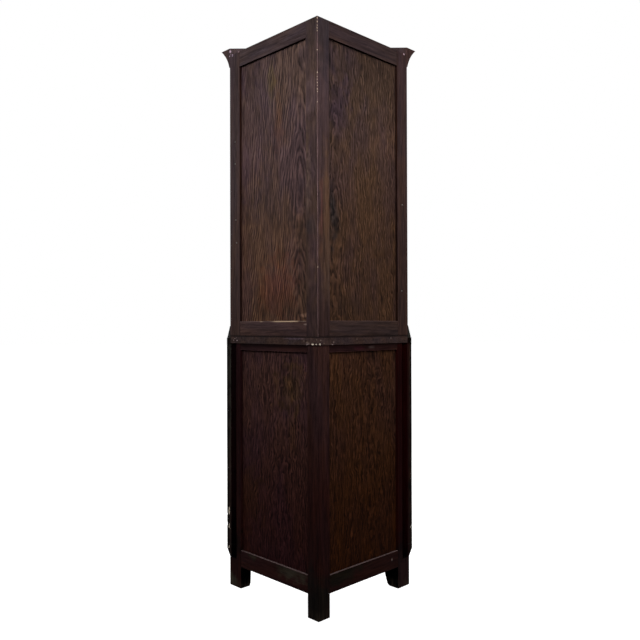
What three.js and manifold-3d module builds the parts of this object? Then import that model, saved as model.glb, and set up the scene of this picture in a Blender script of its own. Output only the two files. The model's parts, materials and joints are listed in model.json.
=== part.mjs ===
// A two-part corner cupboard, in millimetres, with +Z up. The front faces -Y and the right-angled back corner
// points to +Y. Left and right are those of someone who faces the front.
// A place in plan is given in one of two ways. Across and out: across runs along X from the middle, and out runs
// from the back corner straight to the front. Along and in: along runs down a back wall from the back corner, and
// in runs square to that wall, from its outer face into the cupboard.
import * as THREE from "three";
import { mergeVertices } from "three/addons/utils/BufferGeometryUtils.js";
import Module from "manifold-3d";

const wasm = await Module();
wasm.setup();

// Clearances and cutting
const FIT = 0.3; // glue line, or the play of a loose panel
const OVERRUN = 5; // how far a cut runs past the face that it opens
const WELD = 1e-4;
const DIAGONAL = Math.SQRT2; // length along a wall for one unit out
const ROUND_SIDES = 24;
const COVE_STEPS = 10;

// Heights of the lower case, from the floor up
const FOOT_HEIGHT = 74;
const LOWER_BOTTOM_RAIL = 56;
const LOWER_PANEL_SIGHT = 680;
const LOWER_TOP_RAIL = 22.5;
const WAIST_BOARD = 25.5;

// Heights of the upper case
const UPPER_BOTTOM_RAIL = 49;
const UPPER_PANEL_SIGHT = 870;
const UPPER_TOP_RAIL = 53;

// Distance out from the back corner to the front face of the upper case, and how far the lower case, without
// its facade, stands back from it
const UPPER_FRONT = 307;
const LOWER_SETBACK = 3;

// Back walls: a frame of stiles and rails with a thin panel in grooves
const FRAME = 20;
const PANEL = 5;
const PANEL_SET = 8.5;
const GROOVE_DEPTH = 8;
const PANEL_PLAY = 1;
const CORNER_STILE = 51;
const OUTER_STILE = 54;
const CORNER_LEG = 48;

// Front legs: a stile and a foot in one, with a long rebate down the outer face
const LEG_WIDTH = 60;
const LEG_DEPTH = 39;
const LEG_SIGHT = 24;
const REBATE_DEPTH = 12;
const FOOT_PROUD = 5;
const FOOT_TOP = 97;
const BRACKET_THICKNESS = 14;
const BRACKET_HEEL = 9;
const BRACKET_SPREAD = { left: 26, right: 3 };

// Boards
const FLOOR_BOARD = 18;
const SHELF = 16;
const SHELF_SETBACK = 5;
const SHELF_TONGUE = 8; // height of the tongues that a shelf puts into its housings
const HOUSING_DEPTH = 8;
const LOWER_SHELF_RISE = 322; // above the bottom board
const UPPER_SHELF_RISES = [280, 565]; // above the upper floor board
const SHELF_NAMES = ["upper_shelf_low", "upper_shelf_high"];
const CLEAT = 16;
const TOP_BOARD = 16;
const TOP_BOARD_DROP = 14;
const WAIST_PROUD = 1.5;

// Face frame of the upper case and the thicker facade of the lower case
const FACE = 18;
const FACADE = 17;
const FACE_STILE = 70;
const FRIEZE_RAIL = 72;
const DOOR_STOP = 8; // how far a floor board stands up behind the foot of its door
const BASE_CHAMFER_RISE = 25;
const BASE_CHAMFER_RUN = 12;
const FACADE_DROP = 7; // from the foot of the upper case down to the top of the facade
const FACADE_TOP_RAIL = 54;
const TENON = 24;
const TENON_THICKNESS = 6;
const TENON_SHOULDER = 8;

// Mouldings
const CORNICE_RISE = 25;
const CORNICE_HEIGHT = 68;
const CORNICE_PROJECTION = 34;
const COVE_TOE = 1.5;
const COVE_SAG = 5;
const WAIST_MOULDING_HEIGHT = 41;
const WAIST_MOULDING_TOE = 1.2;
const WAIST_MOULDING_NOSE = 3;
const WAIST_LEDGE = 2.5;

// Doors, hung on the left
const HINGE_SIDE = -1;
const HINGE_GAP = 1.6;
const DOOR_GAP = 2;
const UPPER_DOOR_STILE = 45;
const UPPER_DOOR_TOP_RAIL = 45;
const UPPER_DOOR_BOTTOM_RAIL = 62;
const LOWER_DOOR_STILE = 52;
const LOWER_DOOR_TOP_RAIL = 52;
const LOWER_DOOR_BOTTOM_RAIL = 64;
const GLASS = 3;
const GLASS_PLAY = 1;
const REBATE_WIDTH = 8;
const GLAZING_LIP = 7;
const GLAZING_BAR = 15;
const PANE_COLUMNS = 3;
const PANE_ROWS = 4;
const DOOR_PANEL = 5;
const DOOR_PANEL_SET = 6;
const FIELD_RAISE = 4;
const FIELD_MARGIN = 12;
const FIELD_BEVEL = 26;

// Butt hinges
const HINGE_HEIGHT = 64;
const HINGE_INSET = 90;
const LEAF = 1.6;
const LEAF_WIDTH = 13;
const BARREL_RADIUS = 3.6;
const PIN_RADIUS = 1.5;
const KNUCKLES = 5;

// Knobs: a turned rose, neck and ball on a shank that is screwed into the stile
const KNOB_RISES = { upper: 373, lower: 380 }; // above the foot of the door's opening
const KNOB_ROSE_RADIUS = 10;
const KNOB_ROSE = 2.5;
const KNOB_NECK_RADIUS = 4.5;
const KNOB_NECK = 8;
const KNOB_BALL_RADIUS = 11;
const KNOB_PROJECTION = 26;
const SHANK_RADIUS = 2.5;
const SHANK_LENGTH = 11;

const STAIN = { color: 0x3c3030, roughness: 0.55, metalness: 0 };
const PLYWOOD = { color: 0x4a3a32, roughness: 0.6, metalness: 0 };
const LACQUER = { color: 0x1d1b18, roughness: 0.4, metalness: 0 };
const BARE_WOOD = { color: 0x6b5138, roughness: 0.75, metalness: 0 };
const BRASS = { color: 0x9a7a3c, roughness: 0.35, metalness: 1 };
const CLEAR_GLASS = { color: 0xdfe8e6, roughness: 0.05, metalness: 0, transparent: true, opacity: 0.3 };

// Levels worked out from the stack of rails, panels and boards
const LOWER_SIGHT_BOTTOM = FOOT_HEIGHT + LOWER_BOTTOM_RAIL;
const LOWER_SIGHT_TOP = LOWER_SIGHT_BOTTOM + LOWER_PANEL_SIGHT;
const LOWER_TOP = LOWER_SIGHT_TOP + LOWER_TOP_RAIL;
const UPPER_BASE = LOWER_TOP + WAIST_BOARD;
const UPPER_SIGHT_BOTTOM = UPPER_BASE + UPPER_BOTTOM_RAIL;
const UPPER_SIGHT_TOP = UPPER_SIGHT_BOTTOM + UPPER_PANEL_SIGHT;
const WALL_TOP = UPPER_SIGHT_TOP + UPPER_TOP_RAIL;
const BOTTOM_BOARD_TOP = LOWER_SIGHT_BOTTOM + FLOOR_BOARD;
const UPPER_FLOOR_TOP = UPPER_SIGHT_BOTTOM + FLOOR_BOARD;
const FACADE_TOP = UPPER_BASE - FACADE_DROP;
const BASE_RAIL_TOP = BOTTOM_BOARD_TOP - DOOR_STOP;
const LOWER_OPENING_TOP = FACADE_TOP - FACADE_TOP_RAIL;
const UPPER_OPENING_BOTTOM = UPPER_FLOOR_TOP - DOOR_STOP;
const UPPER_OPENING_TOP = WALL_TOP - FRIEZE_RAIL;
const LOWER_SHELF_BASE = BOTTOM_BOARD_TOP + LOWER_SHELF_RISE;

// Fronts and edges worked out from the depth
const LOWER_FRONT = UPPER_FRONT - LOWER_SETBACK;
const FACADE_FRONT = LOWER_FRONT + FACADE;
const FACE_BACK = UPPER_FRONT - FACE;
const SHELF_FRONT = FACE_BACK - SHELF_SETBACK;
const LOWER_SHELF_FRONT = LOWER_FRONT - FACADE - SHELF_SETBACK;
const HALF_OPENING = UPPER_FRONT - FACE_STILE;
const OUTER_STILE_EDGE = UPPER_FRONT * DIAGONAL - OUTER_STILE;
const LEG_EDGE = (LOWER_FRONT + FOOT_PROUD) * DIAGONAL - LEG_WIDTH;
const BARREL_OUT = BARREL_RADIUS + FIT;
const FRONT_REACH = Math.max(
  FACADE_FRONT + KNOB_PROJECTION,
  UPPER_FRONT + KNOB_PROJECTION,
  UPPER_FRONT + CORNICE_PROJECTION,
);
const BACK_REACH = WAIST_PROUD * DIAGONAL;

// Places in plan
const atFront = (across, out) => new THREE.Vector2(across, -out);
const onWall = (side, along, inward) =>
  new THREE.Vector2((side * (along - inward)) / DIAGONAL, -(along + inward) / DIAGONAL);

function solidOf(geometry) {
  const bare = geometry.index ? geometry.toNonIndexed() : geometry.clone();
  bare.deleteAttribute("normal");
  bare.deleteAttribute("uv");
  const merged = mergeVertices(bare, WELD);
  return new wasm.Manifold(
    new wasm.Mesh({
      numProp: 3,
      vertProperties: merged.attributes.position.array,
      triVerts: new Uint32Array(merged.index.array),
    }),
  );
}

function geometryOf(solid) {
  const { vertProperties, triVerts } = solid.getMesh();
  const geometry = new THREE.BufferGeometry();
  geometry.setAttribute("position", new THREE.BufferAttribute(vertProperties, 3));
  geometry.setIndex(new THREE.BufferAttribute(triVerts, 1));
  return geometry;
}

function cut(geometry, tools) {
  return geometryOf(tools.reduce((left, tool) => left.subtract(solidOf(tool)), solidOf(geometry)));
}

function join(geometries) {
  return geometryOf(geometries.map(solidOf).reduce((whole, piece) => whole.add(piece)));
}

// A plan outline carried up from one level to another
function upright(outline, bottom, top) {
  const geometry = new THREE.ExtrudeGeometry(new THREE.Shape(outline), {
    depth: top - bottom,
    bevelEnabled: false,
  });
  return geometry.translate(0, 0, bottom);
}

// A block set square to a back wall
function wallBlock(side, [alongFrom, alongTo], [inFrom, inTo], [bottom, top]) {
  const outline = [
    onWall(side, alongFrom, inFrom),
    onWall(side, alongTo, inFrom),
    onWall(side, alongTo, inTo),
    onWall(side, alongFrom, inTo),
  ];
  return upright(outline, bottom, top);
}

// A block set square to the front
function frontBlock([acrossFrom, acrossTo], [outFrom, outTo], [bottom, top]) {
  const width = Math.abs(acrossTo - acrossFrom);
  const geometry = new THREE.BoxGeometry(width, outTo - outFrom, top - bottom);
  return geometry.translate((acrossFrom + acrossTo) / 2, -(outFrom + outTo) / 2, (bottom + top) / 2);
}

// A moulding that runs across the front and ends in the planes of the two back walls. Its section is given as
// out and up, and each end of the run is drawn to the wall at that distance out.
function acrossFront(section) {
  const shape = new THREE.Shape(section.map(([out, up]) => new THREE.Vector2(out, up)));
  const geometry = new THREE.ExtrudeGeometry(shape, { depth: 1, bevelEnabled: false });
  const place = geometry.attributes.position;
  for (let i = 0; i < place.count; i += 1) {
    const out = place.getX(i);
    const up = place.getY(i);
    const hand = Math.sign(0.5 - place.getZ(i));
    place.setXYZ(i, hand * out, -out, up);
  }
  return geometry;
}

// The triangle inside both walls, back to the given depth in, out to a front edge, less its sharp back corner
function shelfOutline(inset, frontEdge, backEdge = inset * DIAGONAL) {
  const halfWidth = (out) => out - inset * DIAGONAL;
  const back = Math.max(backEdge, inset * DIAGONAL);
  const outline = [atFront(-halfWidth(frontEdge), frontEdge), atFront(halfWidth(frontEdge), frontEdge)];
  if (halfWidth(back) > FIT) outline.push(atFront(halfWidth(back), back), atFront(-halfWidth(back), back));
  else outline.push(atFront(0, back));
  return outline;
}

const cupboard = new THREE.Group();
cupboard.position.y = (FRONT_REACH - BACK_REACH) / 2;

function add(name, geometry, finish) {
  const mesh = new THREE.Mesh(geometry, new THREE.MeshStandardMaterial(finish));
  mesh.name = name;
  cupboard.add(mesh);
}

const SIDES = { left: -1, right: 1 };
const PANEL_IN = [PANEL_SET, PANEL_SET + PANEL];
const GROOVE_IN = [PANEL_SET - FIT, PANEL_SET + PANEL + FIT];

// A groove for the panel, cut into the edge that faces along the wall at the given place. Towards is 1 where the
// wood lies beyond the edge and -1 where it lies before it.
function stileGroove(side, edge, towards, levels) {
  const ends = [edge - towards * OVERRUN, edge + towards * GROOVE_DEPTH].sort((a, b) => a - b);
  return wallBlock(side, ends, GROOVE_IN, levels);
}

// A wall rail: it stands between two stiles, with a stub tongue at each end that fills the panel's groove, and
// has the panel's groove in its own top or bottom edge.
function wallRail(side, [from, to], [bottom, top], grooveAt) {
  const start = from + FIT;
  const end = to - FIT;
  const reach = GROOVE_DEPTH - PANEL_PLAY;
  const body = wallBlock(side, [start, end], [0, FRAME], [bottom, top]);
  const tongue = wallBlock(side, [from - reach, to + reach], PANEL_IN, [bottom, top]);
  const levels = grooveAt === "top" ? [top - GROOVE_DEPTH, top + OVERRUN] : [bottom - OVERRUN, bottom + GROOVE_DEPTH];
  const groove = wallBlock(side, [start - OVERRUN - reach, end + OVERRUN + reach], GROOVE_IN, levels);
  return cut(join([body, tongue]), [groove]);
}

function wallPanel(side, [from, to], [bottom, top]) {
  const reach = GROOVE_DEPTH - PANEL_PLAY;
  return wallBlock(side, [from - reach, to + reach], PANEL_IN, [bottom - reach, top + reach]);
}

function addUpperWalls() {
  const levels = [UPPER_BASE, WALL_TOP];
  const angle = [
    onWall(1, 0, 0),
    onWall(1, CORNER_STILE, 0),
    onWall(1, CORNER_STILE, FRAME),
    onWall(1, FRAME, FRAME),
    onWall(-1, CORNER_STILE, FRAME),
    onWall(-1, CORNER_STILE, 0),
  ];
  const cornerGrooves = Object.values(SIDES).map((side) => stileGroove(side, CORNER_STILE, -1, [
    levels[0] - OVERRUN,
    levels[1] + OVERRUN,
  ]));
  add("upper_corner_post", cut(upright(angle, ...levels), cornerGrooves), STAIN);
  for (const [hand, side] of Object.entries(SIDES)) {
    const frameBack = (FACE_BACK - FIT) * DIAGONAL;
    const stile = [
      onWall(side, OUTER_STILE_EDGE, 0),
      onWall(side, frameBack, 0),
      onWall(side, frameBack - FRAME, FRAME),
      onWall(side, OUTER_STILE_EDGE, FRAME),
    ];
    const groove = stileGroove(side, OUTER_STILE_EDGE, 1, [levels[0] - OVERRUN, levels[1] + OVERRUN]);
    const sight = [CORNER_STILE, OUTER_STILE_EDGE];
    add(`upper_${hand}_outer_stile`, cut(upright(stile, ...levels), [groove]), STAIN);
    add(`upper_${hand}_bottom_rail`, wallRail(side, sight, [UPPER_BASE, UPPER_SIGHT_BOTTOM], "top"), STAIN);
    add(`upper_${hand}_top_rail`, wallRail(side, sight, [UPPER_SIGHT_TOP, WALL_TOP], "bottom"), STAIN);
    add(`upper_${hand}_panel`, wallPanel(side, sight, [UPPER_SIGHT_BOTTOM, UPPER_SIGHT_TOP]), PLYWOOD);
  }
}

// The outline of a front leg in plan, out to a given front plane, with or without the rebate in its outer face.
// Grow moves its inner faces into the cupboard, to cut a clear notch for it in a board.
function legOutline(side, front, { rebated = false, grow = 0 } = {}) {
  const edge = LEG_EDGE - grow;
  const depth = LEG_DEPTH + grow;
  const wallEnd = front * DIAGONAL;
  const innerCorner = onWall(side, edge, depth);
  const outline = [onWall(side, edge, 0)];
  if (rebated) {
    outline.push(onWall(side, LEG_EDGE + LEG_SIGHT, 0));
    outline.push(onWall(side, LEG_EDGE + LEG_SIGHT, REBATE_DEPTH));
    outline.push(onWall(side, wallEnd - REBATE_DEPTH, REBATE_DEPTH));
  } else outline.push(onWall(side, wallEnd, 0));
  outline.push(new THREE.Vector2(innerCorner.x, -front));
  outline.push(innerCorner);
  return outline;
}

// The bracket of a foot, seen from the front: a rounded heel on the floor, then a sweep towards the middle
function bracket(hand) {
  const side = SIDES[hand];
  const spread = BRACKET_SPREAD[hand];
  const root = Math.abs(onWall(side, LEG_EDGE, LEG_DEPTH).x) + OVERRUN;
  const heel = root - OVERRUN - FIT;
  const profile = new THREE.Shape();
  profile.moveTo(root, 0);
  profile.lineTo(heel + BRACKET_HEEL / 2, 0);
  profile.quadraticCurveTo(heel, 0, heel - spread / 4, BRACKET_HEEL);
  profile.quadraticCurveTo(heel - spread / 2, FOOT_TOP / 3, heel - spread, FOOT_TOP);
  profile.lineTo(root, FOOT_TOP);
  const geometry = new THREE.ExtrudeGeometry(profile, {
    depth: BRACKET_THICKNESS,
    bevelEnabled: false,
    curveSegments: COVE_STEPS / 2,
  });
  geometry.rotateX(Math.PI / 2).translate(0, -(LOWER_FRONT + FOOT_PROUD - BRACKET_THICKNESS), 0);
  if (side < 0) geometry.rotateZ(Math.PI).translate(0, -(2 * (LOWER_FRONT + FOOT_PROUD) - BRACKET_THICKNESS), 0);
  return geometry;
}

// Cuts for the corner leg and the front legs, through a board of the lower case
function postNotches([bottom, top]) {
  const corner = wallBlock(1, [-OVERRUN, CORNER_LEG + FIT], [-OVERRUN, CORNER_LEG + FIT], [bottom, top]);
  const legs = Object.values(SIDES).map((side) =>
    upright(legOutline(side, LOWER_FRONT + OVERRUN, { grow: FIT }), bottom, top));
  return [corner, ...legs];
}

// The outline of the lower shelf with its tongues, which are let into housings in the posts
const lowerShelfOutline = (grow) =>
  shelfOutline(FRAME + FIT - grow, LOWER_SHELF_FRONT + grow, CORNER_LEG * DIAGONAL - HOUSING_DEPTH - grow);

function lowerPosts() {
  const grooveLevels = [FOOT_HEIGHT, LOWER_TOP + OVERRUN];
  const housing = upright(lowerShelfOutline(FIT), LOWER_SHELF_BASE, LOWER_SHELF_BASE + SHELF_TONGUE + FIT);
  const square = [
    onWall(1, 0, 0),
    onWall(1, CORNER_LEG, 0),
    onWall(1, CORNER_LEG, CORNER_LEG),
    onWall(1, 0, CORNER_LEG),
  ];
  const grooves = Object.values(SIDES).map((side) => stileGroove(side, CORNER_LEG, -1, grooveLevels));
  const posts = { corner_leg: cut(upright(square, 0, LOWER_TOP), [...grooves, housing]) };
  for (const [hand, side] of Object.entries(SIDES)) {
    const foot = upright(legOutline(side, LOWER_FRONT + FOOT_PROUD), 0, FOOT_TOP);
    const post = upright(legOutline(side, LOWER_FRONT - FIT, { rebated: true }), FOOT_TOP - OVERRUN, LOWER_TOP);
    const whole = join([foot, post, bracket(hand)]);
    posts[`${hand}_front_leg`] = cut(whole, [stileGroove(side, LEG_EDGE, 1, grooveLevels), housing]);
  }
  return posts;
}

function addLowerWalls() {
  for (const [name, geometry] of Object.entries(lowerPosts())) add(name, geometry, STAIN);
  for (const [hand, side] of Object.entries(SIDES)) {
    const sight = [CORNER_LEG, LEG_EDGE];
    add(`lower_${hand}_bottom_rail`, wallRail(side, sight, [FOOT_HEIGHT, LOWER_SIGHT_BOTTOM], "top"), STAIN);
    add(`lower_${hand}_top_rail`, wallRail(side, sight, [LOWER_SIGHT_TOP, LOWER_TOP], "bottom"), STAIN);
    add(`lower_${hand}_panel`, wallPanel(side, sight, [LOWER_SIGHT_BOTTOM, LOWER_SIGHT_TOP]), PLYWOOD);
  }
}

function addBoards() {
  const floorInset = PANEL_SET + PANEL + FIT;
  const bottomLevels = [LOWER_SIGHT_BOTTOM, BOTTOM_BOARD_TOP];
  const bottom = upright(shelfOutline(floorInset, LOWER_FRONT - FIT), ...bottomLevels);
  const bottomNotches = postNotches([bottomLevels[0] - OVERRUN, bottomLevels[1] + OVERRUN]);
  add("bottom_board", cut(bottom, bottomNotches), BARE_WOOD);
  const shelfTop = LOWER_SHELF_BASE + SHELF;
  const shelf = upright(lowerShelfOutline(0), LOWER_SHELF_BASE, shelfTop);
  const shelfNotches = postNotches([LOWER_SHELF_BASE + SHELF_TONGUE, shelfTop + OVERRUN]);
  add("lower_shelf", cut(shelf, shelfNotches), BARE_WOOD);
  add("waist_board", upright(shelfOutline(-WAIST_PROUD, LOWER_FRONT - FIT), LOWER_TOP, UPPER_BASE), STAIN);

  const inside = FRAME + FIT;
  const floorLevels = [UPPER_SIGHT_BOTTOM, UPPER_FLOOR_TOP];
  const angleNotches = Object.values(SIDES).flatMap((side) => [
    wallBlock(side, [-OVERRUN, CORNER_STILE + FIT], [-OVERRUN, inside], [
      floorLevels[0] - OVERRUN,
      floorLevels[1] + OVERRUN,
    ]),
    wallBlock(side, [OUTER_STILE_EDGE - FIT, UPPER_FRONT * DIAGONAL], [-OVERRUN, inside], [
      floorLevels[0] - OVERRUN,
      floorLevels[1] + OVERRUN,
    ]),
  ]);
  const floor = upright(shelfOutline(floorInset, FACE_BACK - FIT), ...floorLevels);
  add("upper_floor_board", cut(floor, angleNotches), BARE_WOOD);
  const topLevel = WALL_TOP - TOP_BOARD_DROP;
  add("top_board", upright(shelfOutline(inside, FACE_BACK - FIT), topLevel - TOP_BOARD, topLevel), BARE_WOOD);
  UPPER_SHELF_RISES.forEach((rise, i) => {
    const level = UPPER_FLOOR_TOP + rise;
    add(SHELF_NAMES[i], upright(shelfOutline(inside, SHELF_FRONT), level, level + SHELF), BARE_WOOD);
    for (const [hand, side] of Object.entries(SIDES)) {
      const start = inside + (side > 0 ? 0 : CLEAT + FIT);
      const end = SHELF_FRONT * DIAGONAL - inside - CLEAT;
      const cleat = wallBlock(side, [start, end], [inside, inside + CLEAT], [level - CLEAT, level]);
      add(`${SHELF_NAMES[i]}_${hand}_cleat`, cleat, BARE_WOOD);
    }
  });
}

// Height of the tenon on the end of a rail, which is set in from the rail's top and bottom edges
const tenonLevels = ([bottom, top]) => [bottom + TENON_SHOULDER, top - TENON_SHOULDER];

// A rail between two upright members, with a tenon in the middle of its thickness at each end
function tenonedRail([from, to], [back, front], levels) {
  const middle = (back + front) / 2;
  const body = frontBlock([from + FIT, to - FIT], [back, front], levels);
  const tenon = frontBlock(
    [from - TENON, to + TENON],
    [middle - TENON_THICKNESS / 2, middle + TENON_THICKNESS / 2],
    tenonLevels(levels),
  );
  return join([body, tenon]);
}

// The mortises for such a rail, as one block that runs through both uprights
function mortises([from, to], [back, front], levels) {
  const middle = (back + front) / 2;
  const [low, high] = tenonLevels(levels);
  return frontBlock(
    [from - TENON - FIT, to + TENON + FIT],
    [middle - TENON_THICKNESS / 2 - FIT, middle + TENON_THICKNESS / 2 + FIT],
    [low - FIT, high + FIT],
  );
}

// Where the hinges of a door sit, as levels of their lower ends
const hingeLevels = ([bottom, top]) => [bottom + HINGE_INSET, top - HINGE_INSET - HINGE_HEIGHT];

// The recess that lets a hinge leaf in flush: into the frame where towards is 1, into the door where it is -1
function leafRecess(front, level, towards) {
  const edge = towards > 0 ? HALF_OPENING : HALF_OPENING - HINGE_GAP;
  const sides = [edge + towards * (LEAF + FIT), edge - (towards * HINGE_GAP) / 2].map((x) => x * HINGE_SIDE);
  return frontBlock(sides, [front - LEAF_WIDTH - FIT, front + OVERRUN], [level - FIT, level + HINGE_HEIGHT + FIT]);
}

function addUpperFaceFrame() {
  const depth = [FACE_BACK, UPPER_FRONT];
  const opening = [-HALF_OPENING, HALF_OPENING];
  const bottomLevels = [UPPER_BASE, UPPER_OPENING_BOTTOM];
  const topLevels = [UPPER_OPENING_TOP, WALL_TOP];
  const recesses = hingeLevels([UPPER_OPENING_BOTTOM, UPPER_OPENING_TOP]).map((level) =>
    leafRecess(UPPER_FRONT, level, 1));
  const cuts = [mortises(opening, depth, bottomLevels), mortises(opening, depth, topLevels), ...recesses];
  for (const [hand, side] of Object.entries(SIDES)) {
    const outline = [
      atFront(side * HALF_OPENING, depth[0]),
      atFront(side * depth[0], depth[0]),
      atFront(side * depth[1], depth[1]),
      atFront(side * HALF_OPENING, depth[1]),
    ];
    add(`upper_face_${hand}_stile`, cut(upright(outline, UPPER_BASE, WALL_TOP), cuts), LACQUER);
  }
  add("upper_face_bottom_rail", tenonedRail(opening, depth, bottomLevels), LACQUER);
  add("upper_face_frieze_rail", tenonedRail(opening, depth, topLevels), LACQUER);
}

function addFacade() {
  const depth = [LOWER_FRONT, FACADE_FRONT];
  const opening = [-HALF_OPENING, HALF_OPENING];
  const topLevels = [LOWER_OPENING_TOP, FACADE_TOP];
  const recesses = hingeLevels([BASE_RAIL_TOP, LOWER_OPENING_TOP]).map((level) =>
    leafRecess(FACADE_FRONT, level, 1));
  for (const [hand, side] of Object.entries(SIDES)) {
    const outline = [
      atFront(side * HALF_OPENING, depth[0]),
      atFront(side * depth[0], depth[0]),
      atFront(side * depth[1], depth[1]),
      atFront(side * HALF_OPENING, depth[1]),
    ];
    const stile = upright(outline, BASE_RAIL_TOP, FACADE_TOP);
    add(`facade_${hand}_stile`, cut(stile, [mortises(opening, depth, topLevels), ...recesses]), LACQUER);
  }
  add("facade_top_rail", tenonedRail(opening, depth, topLevels), LACQUER);
  const baseRail = acrossFront([
    [depth[0], FOOT_TOP],
    [depth[1] - BASE_CHAMFER_RUN, FOOT_TOP],
    [depth[1], FOOT_TOP + BASE_CHAMFER_RISE],
    [depth[1], BASE_RAIL_TOP],
    [depth[0], BASE_RAIL_TOP],
  ]);
  add("facade_base_rail", baseRail, LACQUER);
}

function addMouldings() {
  const back = UPPER_FRONT + FIT;
  const top = WALL_TOP + CORNICE_RISE;
  const toe = new THREE.Vector2(back + COVE_TOE, top - CORNICE_HEIGHT);
  const tip = new THREE.Vector2(UPPER_FRONT + CORNICE_PROJECTION, top);
  const chord = tip.clone().sub(toe);
  const hollow = new THREE.Vector2(chord.y, -chord.x).normalize().multiplyScalar(-2 * COVE_SAG);
  const middle = toe.clone().add(tip).multiplyScalar(0.5).add(hollow);
  const cove = new THREE.QuadraticBezierCurve(toe, middle, tip).getPoints(COVE_STEPS);
  add("cornice", acrossFront([[back, toe.y], ...cove.map((point) => point.toArray()), [back, top]]), LACQUER);

  const nose = FACADE_FRONT - WAIST_LEDGE;
  const waist = acrossFront([
    [back, FACADE_TOP],
    [nose, FACADE_TOP],
    [nose, FACADE_TOP + WAIST_MOULDING_NOSE],
    [back + WAIST_MOULDING_TOE, FACADE_TOP + WAIST_MOULDING_HEIGHT],
    [back, FACADE_TOP + WAIST_MOULDING_HEIGHT],
  ]);
  add("waist_moulding", waist, LACQUER);
}

// The two leaves of a butt hinge. The frame leaf holds the pin; the door leaf turns on it.
function hingeLeaves(front, level) {
  const axisAcross = HINGE_SIDE * (HALF_OPENING - HINGE_GAP / 2);
  const axisOut = front + BARREL_OUT;
  const knuckle = HINGE_HEIGHT / KNUCKLES;
  const barrel = (radius, bottom, top) => {
    const geometry = new THREE.CylinderGeometry(radius, radius, top - bottom, ROUND_SIDES);
    return geometry.rotateX(Math.PI / 2).translate(axisAcross, -axisOut, (bottom + top) / 2);
  };
  const leaf = (towards, first) => {
    const edge = towards > 0 ? HALF_OPENING : HALF_OPENING - HINGE_GAP;
    const sides = [edge * HINGE_SIDE, (edge + towards * LEAF) * HINGE_SIDE];
    const pieces = [frontBlock(sides, [front - LEAF_WIDTH, front], [level, level + HINGE_HEIGHT])];
    for (let i = first; i < KNUCKLES; i += 2) {
      const levels = [level + i * knuckle + FIT / 2, level + (i + 1) * knuckle - FIT / 2];
      pieces.push(frontBlock(sides, [front - LEAF_WIDTH / 2, axisOut], levels));
      pieces.push(barrel(BARREL_RADIUS, ...levels));
    }
    return join(pieces);
  };
  const bore = barrel(PIN_RADIUS + FIT, level - OVERRUN, level + HINGE_HEIGHT + OVERRUN);
  const pin = barrel(PIN_RADIUS, level + FIT, level + HINGE_HEIGHT - FIT);
  return { frame: join([leaf(1, 0), pin]), door: cut(leaf(-1, 1), [bore]) };
}

function addHinges(door, front, opening) {
  hingeLevels(opening).forEach((level, i) => {
    const leaves = hingeLeaves(front, level);
    const place = ["bottom", "top"][i];
    add(`${door}_door_${place}_hinge_frame_leaf`, leaves.frame, BRASS);
    add(`${door}_door_${place}_hinge_door_leaf`, leaves.door, BRASS);
  });
}

const knobPlace = (stile) => -HINGE_SIDE * (HALF_OPENING - DOOR_GAP - stile / 2);

// A knob turned on its own axis, then laid on the front of the door with its shank pointing in
function knob(across, front, level) {
  const ballMiddle = KNOB_PROJECTION - KNOB_BALL_RADIUS;
  const ballFoot = Math.asin(KNOB_NECK_RADIUS / KNOB_BALL_RADIUS);
  const profile = [
    new THREE.Vector2(0, -SHANK_LENGTH),
    new THREE.Vector2(SHANK_RADIUS, -SHANK_LENGTH),
    new THREE.Vector2(SHANK_RADIUS, FIT),
    new THREE.Vector2(KNOB_ROSE_RADIUS, FIT),
    new THREE.Vector2(KNOB_ROSE_RADIUS, KNOB_ROSE / 2),
    new THREE.Vector2(KNOB_ROSE_RADIUS - KNOB_ROSE / 2, KNOB_ROSE),
    new THREE.Vector2(KNOB_NECK_RADIUS, KNOB_NECK - KNOB_ROSE),
  ];
  for (let i = 0; i <= COVE_STEPS; i += 1) {
    const turn = ballFoot + ((Math.PI - ballFoot) * i) / COVE_STEPS;
    const radius = i === COVE_STEPS ? 0 : KNOB_BALL_RADIUS * Math.sin(turn);
    profile.push(new THREE.Vector2(radius, ballMiddle - KNOB_BALL_RADIUS * Math.cos(turn)));
  }
  const geometry = new THREE.LatheGeometry(profile, ROUND_SIDES);
  return geometry.rotateX(Math.PI).translate(across, -front, level);
}

function shankHole(across, front, level) {
  const length = SHANK_LENGTH + FIT + OVERRUN;
  const geometry = new THREE.CylinderGeometry(SHANK_RADIUS + FIT, SHANK_RADIUS + FIT, length, ROUND_SIDES);
  return geometry.translate(across, -(front + OVERRUN - length / 2), level);
}

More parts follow.
